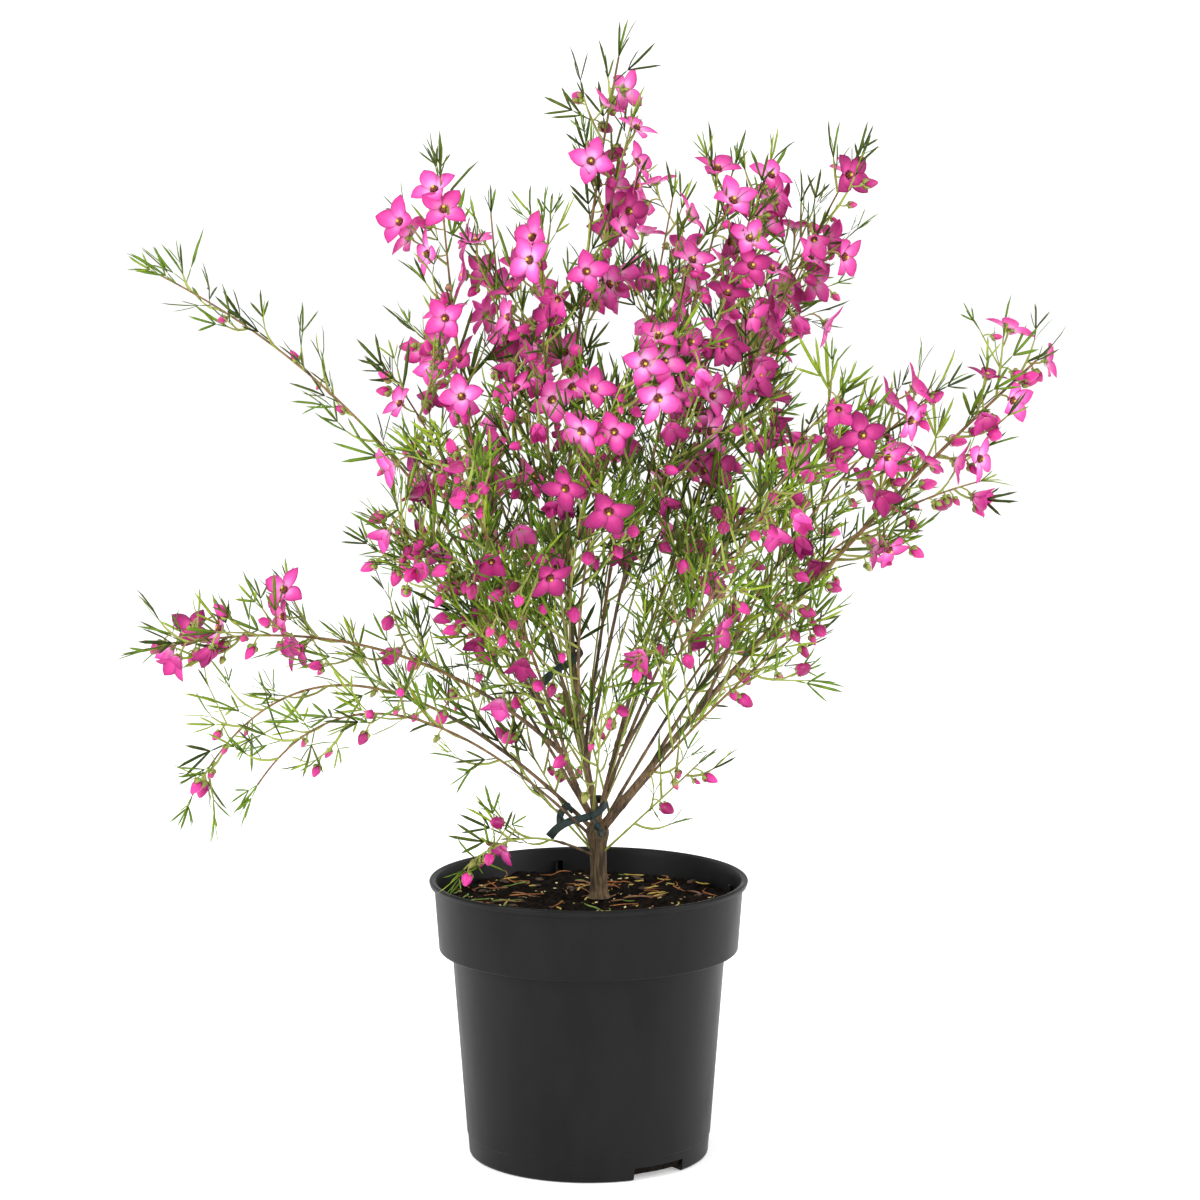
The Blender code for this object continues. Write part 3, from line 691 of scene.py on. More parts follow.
def makeTubeTree():
    tree, start, end = newTree("tubeAlongPath", {"sides": "Int", "reliefDepth": "Float", "reliefWidth": "Float",
                                                "reliefLength": "Float", "finish": "Material"})
    radius = addNode(tree, "GeometryNodeInputNamedAttribute", {"Name": "radius"}, data_type="FLOAT")
    line = addNode(tree, "GeometryNodeMeshToCurve", {"Mesh": start.outputs["Geometry"]})
    along = addNode(tree, "GeometryNodeSplineParameter")
    keepAlong = addNode(tree, "GeometryNodeStoreNamedAttribute",
                        {"Geometry": line.outputs[0], "Name": "alongWood", "Value": along.outputs["Length"]})
    circle = addNode(tree, "GeometryNodeCurvePrimitiveCircle", {"Resolution": start.outputs["sides"], "Radius": 1.0})
    round_ = addNode(tree, "GeometryNodeSplineParameter")
    keepRound = addNode(tree, "GeometryNodeStoreNamedAttribute",
                        {"Geometry": circle.outputs["Curve"], "Name": "roundWood", "Value": round_.outputs["Factor"]})
    tube = addNode(tree, "GeometryNodeCurveToMesh",
                   {"Curve": keepAlong.outputs[0], "Profile Curve": keepRound.outputs[0],
                    "Scale": radius.outputs["Attribute"], "Fill Caps": True})
    readAlong = addNode(tree, "GeometryNodeInputNamedAttribute", {"Name": "alongWood"}, data_type="FLOAT")
    readRound = addNode(tree, "GeometryNodeInputNamedAttribute", {"Name": "roundWood"}, data_type="FLOAT")
    readRadius = addNode(tree, "GeometryNodeInputNamedAttribute", {"Name": "radius"}, data_type="FLOAT")
    angle = addNode(tree, "ShaderNodeMath", {0: readRound.outputs["Attribute"], 1: 2 * pi}, operation="MULTIPLY")
    cosine = addNode(tree, "ShaderNodeMath", {0: angle.outputs[0]}, operation="COSINE")
    sine = addNode(tree, "ShaderNodeMath", {0: angle.outputs[0]}, operation="SINE")
    acrossStep = addNode(tree, "ShaderNodeMath",
                         {0: readRadius.outputs["Attribute"], 1: start.outputs["reliefWidth"]}, operation="DIVIDE")
    alongStep = addNode(tree, "ShaderNodeMath",
                        {0: readAlong.outputs["Attribute"], 1: start.outputs["reliefLength"]}, operation="DIVIDE")
    acrossX = addNode(tree, "ShaderNodeMath", {0: cosine.outputs[0], 1: acrossStep.outputs[0]}, operation="MULTIPLY")
    acrossY = addNode(tree, "ShaderNodeMath", {0: sine.outputs[0], 1: acrossStep.outputs[0]}, operation="MULTIPLY")
    place = addNode(tree, "ShaderNodeCombineXYZ",
                    {"X": acrossX.outputs[0], "Y": acrossY.outputs[0], "Z": alongStep.outputs[0]})
    fissures = addNode(tree, "ShaderNodeTexNoise", {"Vector": place.outputs[0], "Scale": 1.0, "Detail": 3.0})
    centred = addNode(tree, "ShaderNodeMath", {0: fissures.outputs[0], 1: 0.5}, operation="SUBTRACT")
    depth = addNode(tree, "ShaderNodeMath", {0: centred.outputs[0], 1: start.outputs["reliefDepth"]},
                    operation="MULTIPLY")
    normal = addNode(tree, "GeometryNodeInputNormal")
    offset = addNode(tree, "ShaderNodeVectorMath", {0: normal.outputs[0], "Scale": depth.outputs[0]},
                     operation="SCALE")
    raised = addNode(tree, "GeometryNodeSetPosition", {"Geometry": tube.outputs[0], "Offset": offset.outputs[0]})
    smooth = addNode(tree, "GeometryNodeSetShadeSmooth", {"Geometry": raised.outputs[0]})
    joined = addNode(tree, "GeometryNodeRealizeInstances", {"Geometry": smooth.outputs[0]})
    painted = addNode(tree, "GeometryNodeSetMaterial",
                      {"Geometry": joined.outputs[0], "Material": start.outputs["finish"]})
    tree.links.new(painted.outputs[0], end.inputs[0])
    return tree


tubeTree = makeTubeTree()


def tubePiece(name, rows, material, slot, nodes, sides=6, depth=0.0, width=1 * mm, length=6 * mm):
    mesh = bpy.data.meshes.new(f"{name}Paths")
    places, edges, radii = [], [], []
    for points, widths in rows:
        first = len(places)
        places += [tuple(point) for point in points]
        radii += widths
        edges += [(first + number, first + number + 1) for number in range(len(points) - 1)]
    mesh.from_pydata(places, edges, [])
    mesh.attributes.new("radius", "FLOAT", "POINT").data.foreach_set("value", radii)
    inputs = {"sides": sides, "reliefDepth": depth, "reliefWidth": width, "reliefLength": length, "finish": material}
    made = grownMesh(name, mesh, tubeTree, inputs)
    for spent in ("radius", "alongWood", "roundWood"):
        if spent in made.attributes:
            made.attributes.remove(made.attributes[spent])
    made.validate()
    shape = bmesh.new()
    shape.from_mesh(made)
    bmesh.ops.recalc_face_normals(shape, faces=shape.faces)
    shape.to_mesh(made)
    shape.free()
    return addPiece(name, made, material, slot, *nodes)


wood = {"trunkSides": 40, "boughSides": 12, "stemSides": 7, "twigSides": 5, "trunkRings": 60, "boughRings": 40}


def barkMaterial(name, dark, light, fissure):  # fibrous grey-brown bark, dull, with fine cracks along the stem
    material, tree, shader = newMaterial(name, light, 0.82)
    grain = placeNoise(tree, fissure, (1, 1, 0.14), 5, 0.65)
    patches = placeNoise(tree, 9 * mm, (1, 1, 0.5), 2)
    mixed = addNode(tree, "ShaderNodeMath", {0: grain.outputs[0], 1: patches.outputs[0]}, operation="ADD")
    half = addNode(tree, "ShaderNodeMath", {0: mixed.outputs[0], 1: 0.5}, operation="MULTIPLY")
    tree.links.new(blendColours(tree, half.outputs[0], dark, light, 0.42, 0.58), shader.inputs["Base Color"])
    addBump(tree, shader, grain.outputs[0], 0.25 * mm, 0.8)
    return material


def makeWood():
    trunkBark = barkMaterial("fibrousTrunkBark", "#332817", "#7C6444", 1.1 * mm)
    boughBark = barkMaterial("brownBoughBark", "#3C2E1C", "#80664A", 0.9 * mm)
    youngBark = barkMaterial("reddishYoungBark", "#5A4228", "#8E7044", 0.8 * mm)
    greenBark, tree, shader = newMaterial("greenTwigSkin", "#8A9238", 0.5)  # smooth, slightly waxy young twigs
    blotches = placeNoise(tree, 24 * mm)
    tree.links.new(blendColours(tree, blotches.outputs[0], "#7A7038", "#96A442", 0.3, 0.55), shader.inputs["Base Color"])
    stalkSkin, tree, shader = newMaterial("flowerStalkSkin", "#7C7A38", 0.5)  # soft green stalks flushed with red
    flush = placeNoise(tree, 10 * mm)
    tree.links.new(blendColours(tree, flush.outputs[0], "#8E5A44", "#93A044", 0.3, 0.5), shader.inputs["Base Color"])

    shares = np.linspace(0, 1, wood["trunkRings"])
    trunkRow = ([pointOn("trunk", s) for s in shares], [radiusOn("trunk", s) for s in shares])
    tubePiece("trunkBark", [trunkRow], trunkBark, "brown_bark", ["trunk"], wood["trunkSides"],
              0.9 * mm, 0.9 * mm, 9 * mm)
    boughs = []
    for name, stem in stemTable.items():
        shares = np.linspace(0, stem.bough, wood["boughRings"])
        boughs.append(([pointOn(name, s) for s in shares], [radiusOn(name, s) for s in shares]))
    tubePiece("boughBark", boughs, boughBark, "brown_bark", [f"{name}_bough" for name in stemTable],
              wood["boughSides"], 0.5 * mm, 0.7 * mm, 6 * mm)
    masses = [f"{name}_mass" for name in stemTable]
    tubePiece("upperStems", tubes["upperStems"], youngBark, "brown_bark", masses, wood["stemSides"],
              0.12 * mm, 0.6 * mm, 5 * mm)
    tubePiece("greenTwigs", tubes["greenTwigs"], greenBark, "foliage_and_blossom", masses, wood["twigSides"])
    tubePiece("flowerStalks", tubes["flowerStalks"], stalkSkin, "foliage_and_blossom", masses, wood["twigSides"])


# Sprays: what repeats is made once as a small shape, and one tree sets it on every grown row

def makeSprayTree():
    tree, start, end = newTree("sprayOnRows", {"shapes": "Collection", "size": "Float", "sizeSpread": "Float",
                                              "seed": "Int", "finish": "Material"})
    shapes = addNode(tree, "GeometryNodeCollectionInfo",
                     {"Collection": start.outputs["shapes"], "Separate Children": True, "Reset Children": True})
    turn = addNode(tree, "GeometryNodeInputNamedAttribute", {"Name": "turn"}, data_type="FLOAT_VECTOR")
    rotation = addNode(tree, "FunctionNodeEulerToRotation", {"Euler": turn.outputs["Attribute"]})
    variant = addNode(tree, "GeometryNodeInputNamedAttribute", {"Name": "variant"}, data_type="INT")
    scale = addNode(tree, "GeometryNodeInputNamedAttribute", {"Name": "scale"}, data_type="FLOAT")
    low = addNode(tree, "ShaderNodeMath", {0: 1.0, 1: start.outputs["sizeSpread"]}, operation="SUBTRACT")
    high = addNode(tree, "ShaderNodeMath", {0: 1.0, 1: start.outputs["sizeSpread"]}, operation="ADD")
    chance = addNode(tree, "FunctionNodeRandomValue", {"Seed": start.outputs["seed"]}, data_type="FLOAT")
    tree.links.new(low.outputs[0], chance.inputs[2])
    tree.links.new(high.outputs[0], chance.inputs[3])
    sized = addNode(tree, "ShaderNodeMath", {0: scale.outputs["Attribute"], 1: chance.outputs[1]},
                    operation="MULTIPLY")
    whole = addNode(tree, "ShaderNodeMath", {0: sized.outputs[0], 1: start.outputs["size"]}, operation="MULTIPLY")
    placed = addNode(tree, "GeometryNodeInstanceOnPoints",
                     {"Points": start.outputs["Geometry"], "Instance": shapes.outputs[0], "Pick Instance": True,
                      "Instance Index": variant.outputs["Attribute"], "Rotation": rotation.outputs[0],
                      "Scale": whole.outputs[0]})
    joined = addNode(tree, "GeometryNodeRealizeInstances", {"Geometry": placed.outputs[0]})
    painted = addNode(tree, "GeometryNodeSetMaterial",
                      {"Geometry": joined.outputs[0], "Material": start.outputs["finish"]})
    tree.links.new(painted.outputs[0], end.inputs[0])
    return tree


sprayTree = makeSprayTree()


def shapeSet(name, meshes):  # a collection of small shapes, in order, hidden from the render
    shapes = bpy.data.collections.new(name)
    bpy.context.scene.collection.children.link(shapes)
    for number, mesh in enumerate(meshes):
        shape = bpy.data.objects.new(f"{name}{number:02d}", mesh)
        shape.hide_render = True
        shapes.objects.link(shape)
    return shapes


def dropShapes(shapes):
    for shape in list(shapes.objects):
        bpy.data.objects.remove(shape, do_unlink=True)
    bpy.data.collections.remove(shapes)


def sprayPiece(name, rows, shapes, material, slot, nodes, size=1.0, spread=0.06, seed=1):
    points = bpy.data.meshes.new(f"{name}Rows")
    points.from_pydata([tuple(row.place) for row in rows], [], [])
    turns = [number for row in rows for number in row.turn]
    points.attributes.new("turn", "FLOAT_VECTOR", "POINT").data.foreach_set("vector", turns)
    points.attributes.new("scale", "FLOAT", "POINT").data.foreach_set("value", [row.scale for row in rows])
    points.attributes.new("variant", "INT", "POINT").data.foreach_set("value", [row.variant for row in rows])
    inputs = {"shapes": shapes, "size": size, "sizeSpread": spread, "seed": seed, "finish": material}
    made = grownMesh(name, points, sprayTree, inputs)
    return addPiece(name, made, material, slot, *nodes)


def meshFrom(name, shape, smooth=True):
    bmesh.ops.recalc_face_normals(shape, faces=shape.faces)
    mesh = bpy.data.meshes.new(name)
    shape.to_mesh(mesh)
    shape.free()
    if smooth:
        mesh.shade_smooth()
    return mesh


def joinShapes(name, shapes):  # several bmesh shapes as one mesh
    whole = bmesh.new()
    for shape in shapes:
        part = bpy.data.meshes.new("part")
        shape.to_mesh(part)
        shape.free()
        whole.from_mesh(part)
        bpy.data.meshes.remove(part)
    return meshFrom(name, whole)


# Leaves: a short midrib with narrow leaflets in pairs

leaf = {"leafletLength": 20 * mm, "leafletWidth": 1.5 * mm, "leafletThickness": 0.4 * mm, "ribLength": 8.5 * mm,
        "ribWidth": 0.8 * mm, "bend": 0.26}


def leaflet(length, width, bend, matrix):  # a closed three-sided blade, flat above and keeled below
    shape = bmesh.new()
    stations = ((0.0, 0.45), (0.34, 0.95), (0.76, 0.9))
    rings = []
    for share, wide in stations:
        middle = Vector((0, bend * share**2 * length, share * length))
        half, deep = width * wide / 2, leaf["leafletThickness"] * wide
        corners = ((-half, 0, 0), (half, 0, 0), (0, -deep, 0))
        rings.append([shape.verts.new(middle + Vector(corner)) for corner in corners])
    tip = shape.verts.new(Vector((0, bend * length, length)))
    shape.faces.new(rings[0])
    for lower, upper in zip(rings, rings[1:]):
        for side in range(3):
            shape.faces.new((lower[side], lower[(side + 1) % 3], upper[(side + 1) % 3], upper[side]))
    for side in range(3):
        shape.faces.new((rings[-1][side], rings[-1][(side + 1) % 3], tip))
    shape.transform(matrix)
    return shape


def leafMesh(number, pairs, tipLength, spread):
    dice = random.Random(f"leaf shape {number}")
    bend = leaf["bend"]
    ribLength = leaf["ribLength"] * (0.55 + 0.35 * pairs) if pairs else 0
    shapes = [leaflet(ribLength, leaf["ribWidth"], 0.0, Matrix.Identity(4))] if pairs else []
    for pair in range(pairs):
        height = ribLength * (0.96 if pair == pairs - 1 else 0.5)
        for side in (-1, 1):
            turn = Matrix.Rotation(dice.uniform(-0.4, 0.4), 4, "Z") @ Matrix.Rotation(
                spread * dice.uniform(0.75, 1.2) * side, 4, "Y")
            matrix = Matrix.Translation((0, 0, height)) @ turn @ Matrix.Rotation(dice.uniform(-0.6, 0.6), 4, "Z")
            length = leaf["leafletLength"] * dice.uniform(0.5, 0.85)
            width = leaf["leafletWidth"] * dice.uniform(0.7, 1.0)
            shapes.append(leaflet(length, width, dice.uniform(-bend, bend), matrix))
    matrix = Matrix.Translation((0, 0, ribLength * 0.95))
    shapes.append(leaflet(leaf["leafletLength"] * tipLength, leaf["leafletWidth"], dice.uniform(-bend, bend),
                          matrix))
    return joinShapes(f"leaf{number}", shapes)


def makeLeaves():
    shapes = shapeSet("leafShape", [
        leafMesh(0, 0, 1.05, 0.5), leafMesh(1, 0, 0.75, 0.5), leafMesh(2, 1, 0.95, 0.42),
        leafMesh(3, 1, 0.8, 0.55), leafMesh(4, 1, 1.0, 0.62), leafMesh(5, 2, 0.75, 0.55),
    ])
    colours = {
        "oliveLeaves": ("#42521A", "#586A1E"),
        "deepLeaves": ("#304014", "#425418"),
        "brightLeaves": ("#54721A", "#6E8E22"),
        "freshLeaves": ("#7A9424", "#9AB030"),
    }
    masses = [f"{name}_mass" for name in stemTable]
    for number, (tint, (dark, light)) in enumerate(colours.items()):
        # a waxy leaf skin, a little glossy, with soft patches of the lighter green
        material, tree, shader = newMaterial(f"{tint}Skin", light, 0.5, Specular_IOR_Level=0.15)
        patches = placeNoise(tree, 5 * mm)
        tree.links.new(blendColours(tree, patches.outputs[0], dark, light), shader.inputs["Base Color"])
        sprayPiece(tint, leafRows[tint], shapes, material, "foliage_and_blossom", masses, seed=number)
    dropShapes(shapes)


# Flowers: four broad pointed petals, a dark eye of stamens round a yellow stigma, and four small sepals behind

flower = {"petalLength": 10.8 * mm, "petalWidth": 7.9 * mm, "petalThickness": 0.30 * mm, "hubRadius": 0.7 * mm,
          "rows": 6, "columns": 4, "stamens": 8, "eyeRadius": 1.3 * mm, "sepalLength": 2.8 * mm,
          "sepalWidth": 2.0 * mm}


def petalOutline(share):  # half the petal's width as a share of its widest, from its narrow base to its pointed tip
    if share < 0.45:
        return 0.36 + 0.64 * math.sin(pi / 2 * share / 0.45) ** 1.1
    return max(0.02, math.cos(pi / 2 * (share - 0.45) / 0.55)) ** 0.78


def bladeShape(length, width, thickness, rows, columns, angles, cup, curl, matrix):
    # a closed thin blade from a grid: it rises at the first angle from +Z and ends at the last, cupped across.
    # Each corner keeps its share of the blade's length and its place across, which the petals' skin reads
    places = []
    reach, rise = flower["hubRadius"], 0.0
    for row in range(rows + 1):
        share = row / rows
        angle = angles[0] + (angles[1] - angles[0]) * share**0.85
        if row:
            reach += math.sin(angle) * length / rows
            rise += math.cos(angle) * length / rows
        half = width / 2 * petalOutline(share)
        normal = Vector((-math.cos(angle), 0, math.sin(angle)))
        for column in range(columns + 1):
            across = 2 * column / columns - 1
            lift = cup * half * across**2 + curl * half * across * share
            point = Vector((reach, across * half, rise)) + normal * lift
            deep = thickness * (1 - across**2) * (1 - 0.7 * share) * (0 if row in (0, rows) else 1)
            places.append((point, normal * deep, Vector((share, across, 0))))
    shape = bmesh.new()
    bladePlace = shape.verts.layers.float_vector.new("bladePlace")
    for side in (0.5, -0.5):
        sheet = []
        for point, deep, place in places:
            corner = shape.verts.new(point + deep * side)
            corner[bladePlace] = place
            sheet.append(corner)
        for row in range(rows):
            for column in range(columns):
                corner = row * (columns + 1) + column
                shape.faces.new([sheet[corner], sheet[corner + 1], sheet[corner + columns + 2],
                                 sheet[corner + columns + 1]])
    bmesh.ops.remove_doubles(shape, verts=shape.verts, dist=0.001 * mm)
    shape.transform(matrix)
    return shape


openings = ((66, 90, 0.20), (56, 84, 0.28), (46, 72, 0.34), (36, 44, 0.42), (50, -2, 0.55))


def petalsMesh(number):
    first, last, cup = openings[number]
    dice = random.Random(f"petals {number}")
    shapes = []
    for side in range(4):
        angles = [math.radians(angle) + dice.uniform(-0.09, 0.09) for angle in (first, last)]
        matrix = Matrix.Rotation(side * pi / 2 + dice.uniform(-0.07, 0.07), 4, "Z")
        length = flower["petalLength"] * dice.uniform(0.93, 1.04)
        width = flower["petalWidth"] * dice.uniform(0.92, 1.05)
        curl = dice.uniform(-0.25, 0.25)
        shapes.append(bladeShape(length, width, flower["petalThickness"], flower["rows"], flower["columns"],
                                 angles, cup, curl, matrix))
    return joinShapes(f"petals{number}", shapes)


def grain(radius, length, segments, rings, matrix):  # a small egg along +Z
    shape = bmesh.new()
    bmesh.ops.create_uvsphere(shape, u_segments=segments, v_segments=rings, radius=1)
    shape.transform(matrix @ Matrix.Diagonal((radius, radius, length / 2, 1)))
    return shape


def eyeMesh():
    shapes = []
    for number in range(flower["stamens"]):
        around = Matrix.Rotation(number * 2 * pi / flower["stamens"], 4, "Z")
        lean = Matrix.Rotation(-0.45, 4, "Y")
        place = Matrix.Translation((flower["eyeRadius"], 0, 1.5 * mm))
        shapes.append(grain(0.46 * mm, (2.3 if number % 2 else 1.8) * mm, 4, 4, around @ place @ lean))
    shapes.append(grain(flower["eyeRadius"] * 1.1, 1.6 * mm, 8, 4, Matrix.Translation((0, 0, 0.6 * mm))))
    return joinShapes("eye", shapes)


def stigmaMesh():
    return joinShapes("stigma", [grain(0.72 * mm, 1.4 * mm, 7, 5, Matrix.Translation((0, 0, 2.5 * mm)))])


def funnel(footRadius, topRadius, length, sides):  # the swollen end of a stalk, from its foot below up to the flower
    shape = bmesh.new()
    bmesh.ops.create_cone(shape, cap_ends=True, segments=sides, radius1=footRadius, radius2=topRadius, depth=length)
    shape.transform(Matrix.Translation((0, 0, -length / 2)))
    return shape


def sepalsMesh(angles, lower, size):  # four sepals on a funnel, spread behind a flower or capping a bud
    shapes = [funnel(0.4 * mm, 1.3 * mm, 2.2 * mm, 7)]
    shapes[0].transform(Matrix.Translation((0, 0, 0.3 * mm - lower)))
    for side in range(4):
        matrix = Matrix.Rotation(side * pi / 2 + pi / 4, 4, "Z") @ Matrix.Translation((0, 0, -0.5 * mm - lower))
        shapes.append(bladeShape(flower["sepalLength"] * size, flower["sepalWidth"] * size, 0.3 * mm, 3, 2, angles,
                                 -0.25, 0, matrix))
    return joinShapes("sepals", shapes)


def petalSkin(name, throat, pale, middle, rim):
    # silky petal skin: a dark throat, then pale, then deeper towards the rim, with faint veins and a soft sheen
    material, tree, shader = newMaterial(name, middle, 0.5, Sheen_Weight=0.05, Sheen_Roughness=0.4,
                                         Specular_IOR_Level=0.15)
    place = addNode(tree, "ShaderNodeAttribute", attribute_name="bladePlace")
    parts = addNode(tree, "ShaderNodeSeparateXYZ", {0: place.outputs["Vector"]})
    aside = addNode(tree, "ShaderNodeMath", {0: parts.outputs["Y"]}, operation="ABSOLUTE")
    edge = addNode(tree, "ShaderNodeMath", {0: aside.outputs[0], 1: 0.22}, operation="MULTIPLY")
    stretched = addNode(tree, "ShaderNodeMapping", {"Vector": place.outputs["Vector"], "Scale": (1.6, 7, 1)})
    veins = addNode(tree, "ShaderNodeTexNoise", {"Vector": stretched.outputs[0], "Scale": 1.0, "Detail": 2.0})
    faint = addNode(tree, "ShaderNodeMath", {0: veins.outputs[0], 1: 0.24}, operation="MULTIPLY")
    outward = addNode(tree, "ShaderNodeMath", {0: parts.outputs["X"], 1: edge.outputs[0]}, operation="ADD")
    veined = addNode(tree, "ShaderNodeMath", {0: outward.outputs[0], 1: faint.outputs[0]}, operation="ADD")
    tree.links.new(rampColours(tree, veined.outputs[0], (0.12, throat), (0.34, pale), (0.62, middle), (1.0, rim)),
                   shader.inputs["Base Color"])
    return material


def makeFlowers():
    shapes = shapeSet("petalShape", [petalsMesh(number) for number in range(len(openings))])
    # one petal skin in three copies: besides their random tone, the bright copy is a painted light and the deep copy a
    # painted shade, as addFlower gives them mostly to high and to low flowers
    tints = {
        "brightPetals": ("#C24090", "#FFB0E2", "#F26CBE", "#D8449C"),
        "rosePetals": ("#AC2E7A", "#FA8CCA", "#E050A6", "#C43488"),
        "deepPetals": ("#861C56", "#D8529C", "#B42E78", "#902060"),
    }
    masses = [f"{name}_mass" for name in stemTable]
    for number, (tint, colours) in enumerate(tints.items()):
        sprayPiece(tint, petalRows[tint], shapes, petalSkin(f"{tint}Skin", *colours), "foliage_and_blossom", masses,
                   spread=0, seed=number + 10)
    dropShapes(shapes)

    eyeSkin, tree, shader = newMaterial("stamenSkin", "#6A2A20", 0.6)  # red-brown anthers packed in a ring
    specks = placeNoise(tree, 1.2 * mm)
    tree.links.new(blendColours(tree, specks.outputs[0], "#571C22", "#8E5A2E"), shader.inputs["Base Color"])
    stigmaSkin, tree, shader = newMaterial("stigmaSkin", "#D8BE3C", 0.35)  # moist yellow-green knob
    for name, mesh, material in (("stamens", eyeMesh(), eyeSkin), ("stigmas", stigmaMesh(), stigmaSkin)):
        shapes = shapeSet(f"{name}Shape", [mesh])
        sprayPiece(name, [row._replace(variant=0) for row in centreRows], shapes, material, "foliage_and_blossom",
                   masses, spread=0, seed=20)
        dropShapes(shapes)
    sepalSkin, tree, shader = newMaterial("sepalSkin", "#8C9A40", 0.55)  # green sepals, some flushed with red
    flush = placeNoise(tree, 8 * mm)
    tree.links.new(blendColours(tree, flush.outputs[0], "#86504A", "#94A246", 0.26, 0.46), shader.inputs["Base Color"])
    kinds = (("sepals", sepalRows, (1.25, 1.0), 0, 1), ("budSepals", calyxRows, (1.5, 0.15), 0.75 * mm, 1.36))
    for name, rows, angles, lower, size in kinds:
        shapes = shapeSet(f"{name}Shape", [sepalsMesh(angles, lower, size)])
        sprayPiece(name, rows, shapes, sepalSkin, "foliage_and_blossom", masses, spread=0, seed=21)
        dropShapes(shapes)


# Buds: four petals folded into a pointed egg

bud = {"length": 8.2 * mm, "radius": 3.0 * mm, "segments": 12, "rings": 6}


def budMesh(number, plump, twist):
    shape = bmesh.new()
    bmesh.ops.create_uvsphere(shape, u_segments=bud["segments"], v_segments=bud["rings"], radius=1)
    for corner in shape.verts:
        share = (corner.co.z + 1) / 2
        around = math.atan2(corner.co.y, corner.co.x)
        fold = 1 + 0.06 * math.cos(4 * around + twist * share * 4)
        slim = 1 - 0.42 * share**2
        radius = bud["radius"] * plump * fold * slim
        height = share ** (1.2 if share > 0.5 else 1.1) * bud["length"] - 0.8 * mm
        corner.co = Vector((corner.co.x * radius, corner.co.y * radius, height))
    return meshFrom(f"bud{number}", shape)


def makeBuds():
    shapes = shapeSet("budShape", [budMesh(0, 1.0, 0.5), budMesh(1, 0.9, 0.9), budMesh(2, 1.08, 0.3)])
    masses = [f"{name}_mass" for name in stemTable]
    ripe, tree, shader = newMaterial("ripeBudSkin", "#D22C8E", 0.4, Specular_IOR_Level=0.35)  # glossy folded petals
    patches = placeNoise(tree, 14 * mm, detail=1)
    tree.links.new(blendColours(tree, patches.outputs[0], "#8E1656", "#D83494", 0.35, 0.6), shader.inputs["Base Color"])
    young, tree, shader = newMaterial("youngBudSkin", "#B84078", 0.45)  # small and tight, pink with some still green
    patches = placeNoise(tree, 16 * mm, detail=1)
    tree.links.new(blendColours(tree, patches.outputs[0], "#8E9040", "#C4347E", 0.38, 0.46), shader.inputs["Base Color"])
    sprayPiece("ripeBuds", budRows, shapes, ripe, "foliage_and_blossom", masses, seed=30)
    sprayPiece("youngBuds", greenBudRows, shapes, young, "foliage_and_blossom", masses, seed=31)
    dropShapes(shapes)


# Two moulded clips that gather the stems: each strap runs past a few stems and hooks round them

ties = {
    "thickness": 1.1 * mm,
    "steps": 44,
    "corners": 10,
    "endWidth": 4.2,
    "middleWidth": 3.3,
    "upright": Vector((-0.5, 0, 0.86)),  # the straps stand on edge, as a belt does
    # the straps' routes in millimetres: over the fork, then in the middle of the bush
    "routes": (
        ((-17, -9, 142.5), (-13.5, -9.5, 146.5), (-8, -7.5, 149.2), (-2, -5.8, 150.3), (3, -4.6, 152), (6.6, -3, 155),
         (7.6, 0, 156.8), (5.5, 3.4, 157), (2, 4.4, 156.4)),
        ((-12.2, -8.8, 147.6), (-12.4, -7, 151.5), (-10.4, -3, 154.4), (-8, 0.6, 154.2), (-8.6, 3.4, 152)),
        ((1.2, -5.2, 151.6), (3.4, -6.6, 148), (4.6, -6.3, 144.6), (6.2, -5.4, 143.2)),
        ((-20.5, -6.5, 209.5), (-17, -5.8, 213), (-12.6, -3.6, 216.2), (-9.4, -2.2, 217.6), (-6, -2.4, 220),
         (-3.6, -1.4, 223), (-4.6, 1.6, 225), (-8, 2.4, 225)),
    ),
}


def smoothRoute(points, count):  # points on a smooth curve through the given ones, and their shares of it
    route = []
    for number in range(count + 1):
        place = number / count * (len(points) - 1)
        first = min(int(place), len(points) - 2)
        share = place - first
        before, start, end, after = (points[min(max(first + step, 0), len(points) - 1)] for step in (-1, 0, 1, 2))
        route.append(start + ((end - before) * share + (before * 2 - start * 5 + end * 4 - after) * share**2
                              + (start * 3 - before - end * 3 + after) * share**3) / 2)
    return route


def strapShape(points, count):  # a flat strap with rounded edges and wider ends
    route = smoothRoute([Vector(point) * mm for point in points], count)
    shape = bmesh.new()
    rings = []
    for number, point in enumerate(route):
        ahead = (route[min(number + 1, count)] - route[max(number - 1, 0)]).normalized()
        wide = (ties["upright"] - ahead * ties["upright"].dot(ahead)).normalized()
        deep = wide.cross(ahead)
        ending = abs(2 * number / count - 1) ** 3
        halfWidth = (ties["middleWidth"] + (ties["endWidth"] - ties["middleWidth"]) * ending) * mm / 2
        ring = []
        for corner in range(ties["corners"]):
            turn = 2 * pi * (corner + 0.5) / ties["corners"]
            across = math.copysign(abs(math.cos(turn)) ** 0.5, math.cos(turn)) * halfWidth
            above = math.copysign(abs(math.sin(turn)) ** 0.5, math.sin(turn)) * ties["thickness"] / 2
            ring.append(shape.verts.new(point + wide * across + deep * above))
        rings.append(ring)
    for lower, upper in zip(rings, rings[1:]):
        for corner in range(ties["corners"]):
            after = (corner + 1) % ties["corners"]
            shape.faces.new((lower[corner], lower[after], upper[after], upper[corner]))
    shape.faces.new(rings[0])
    shape.faces.new(rings[-1])
    return shape


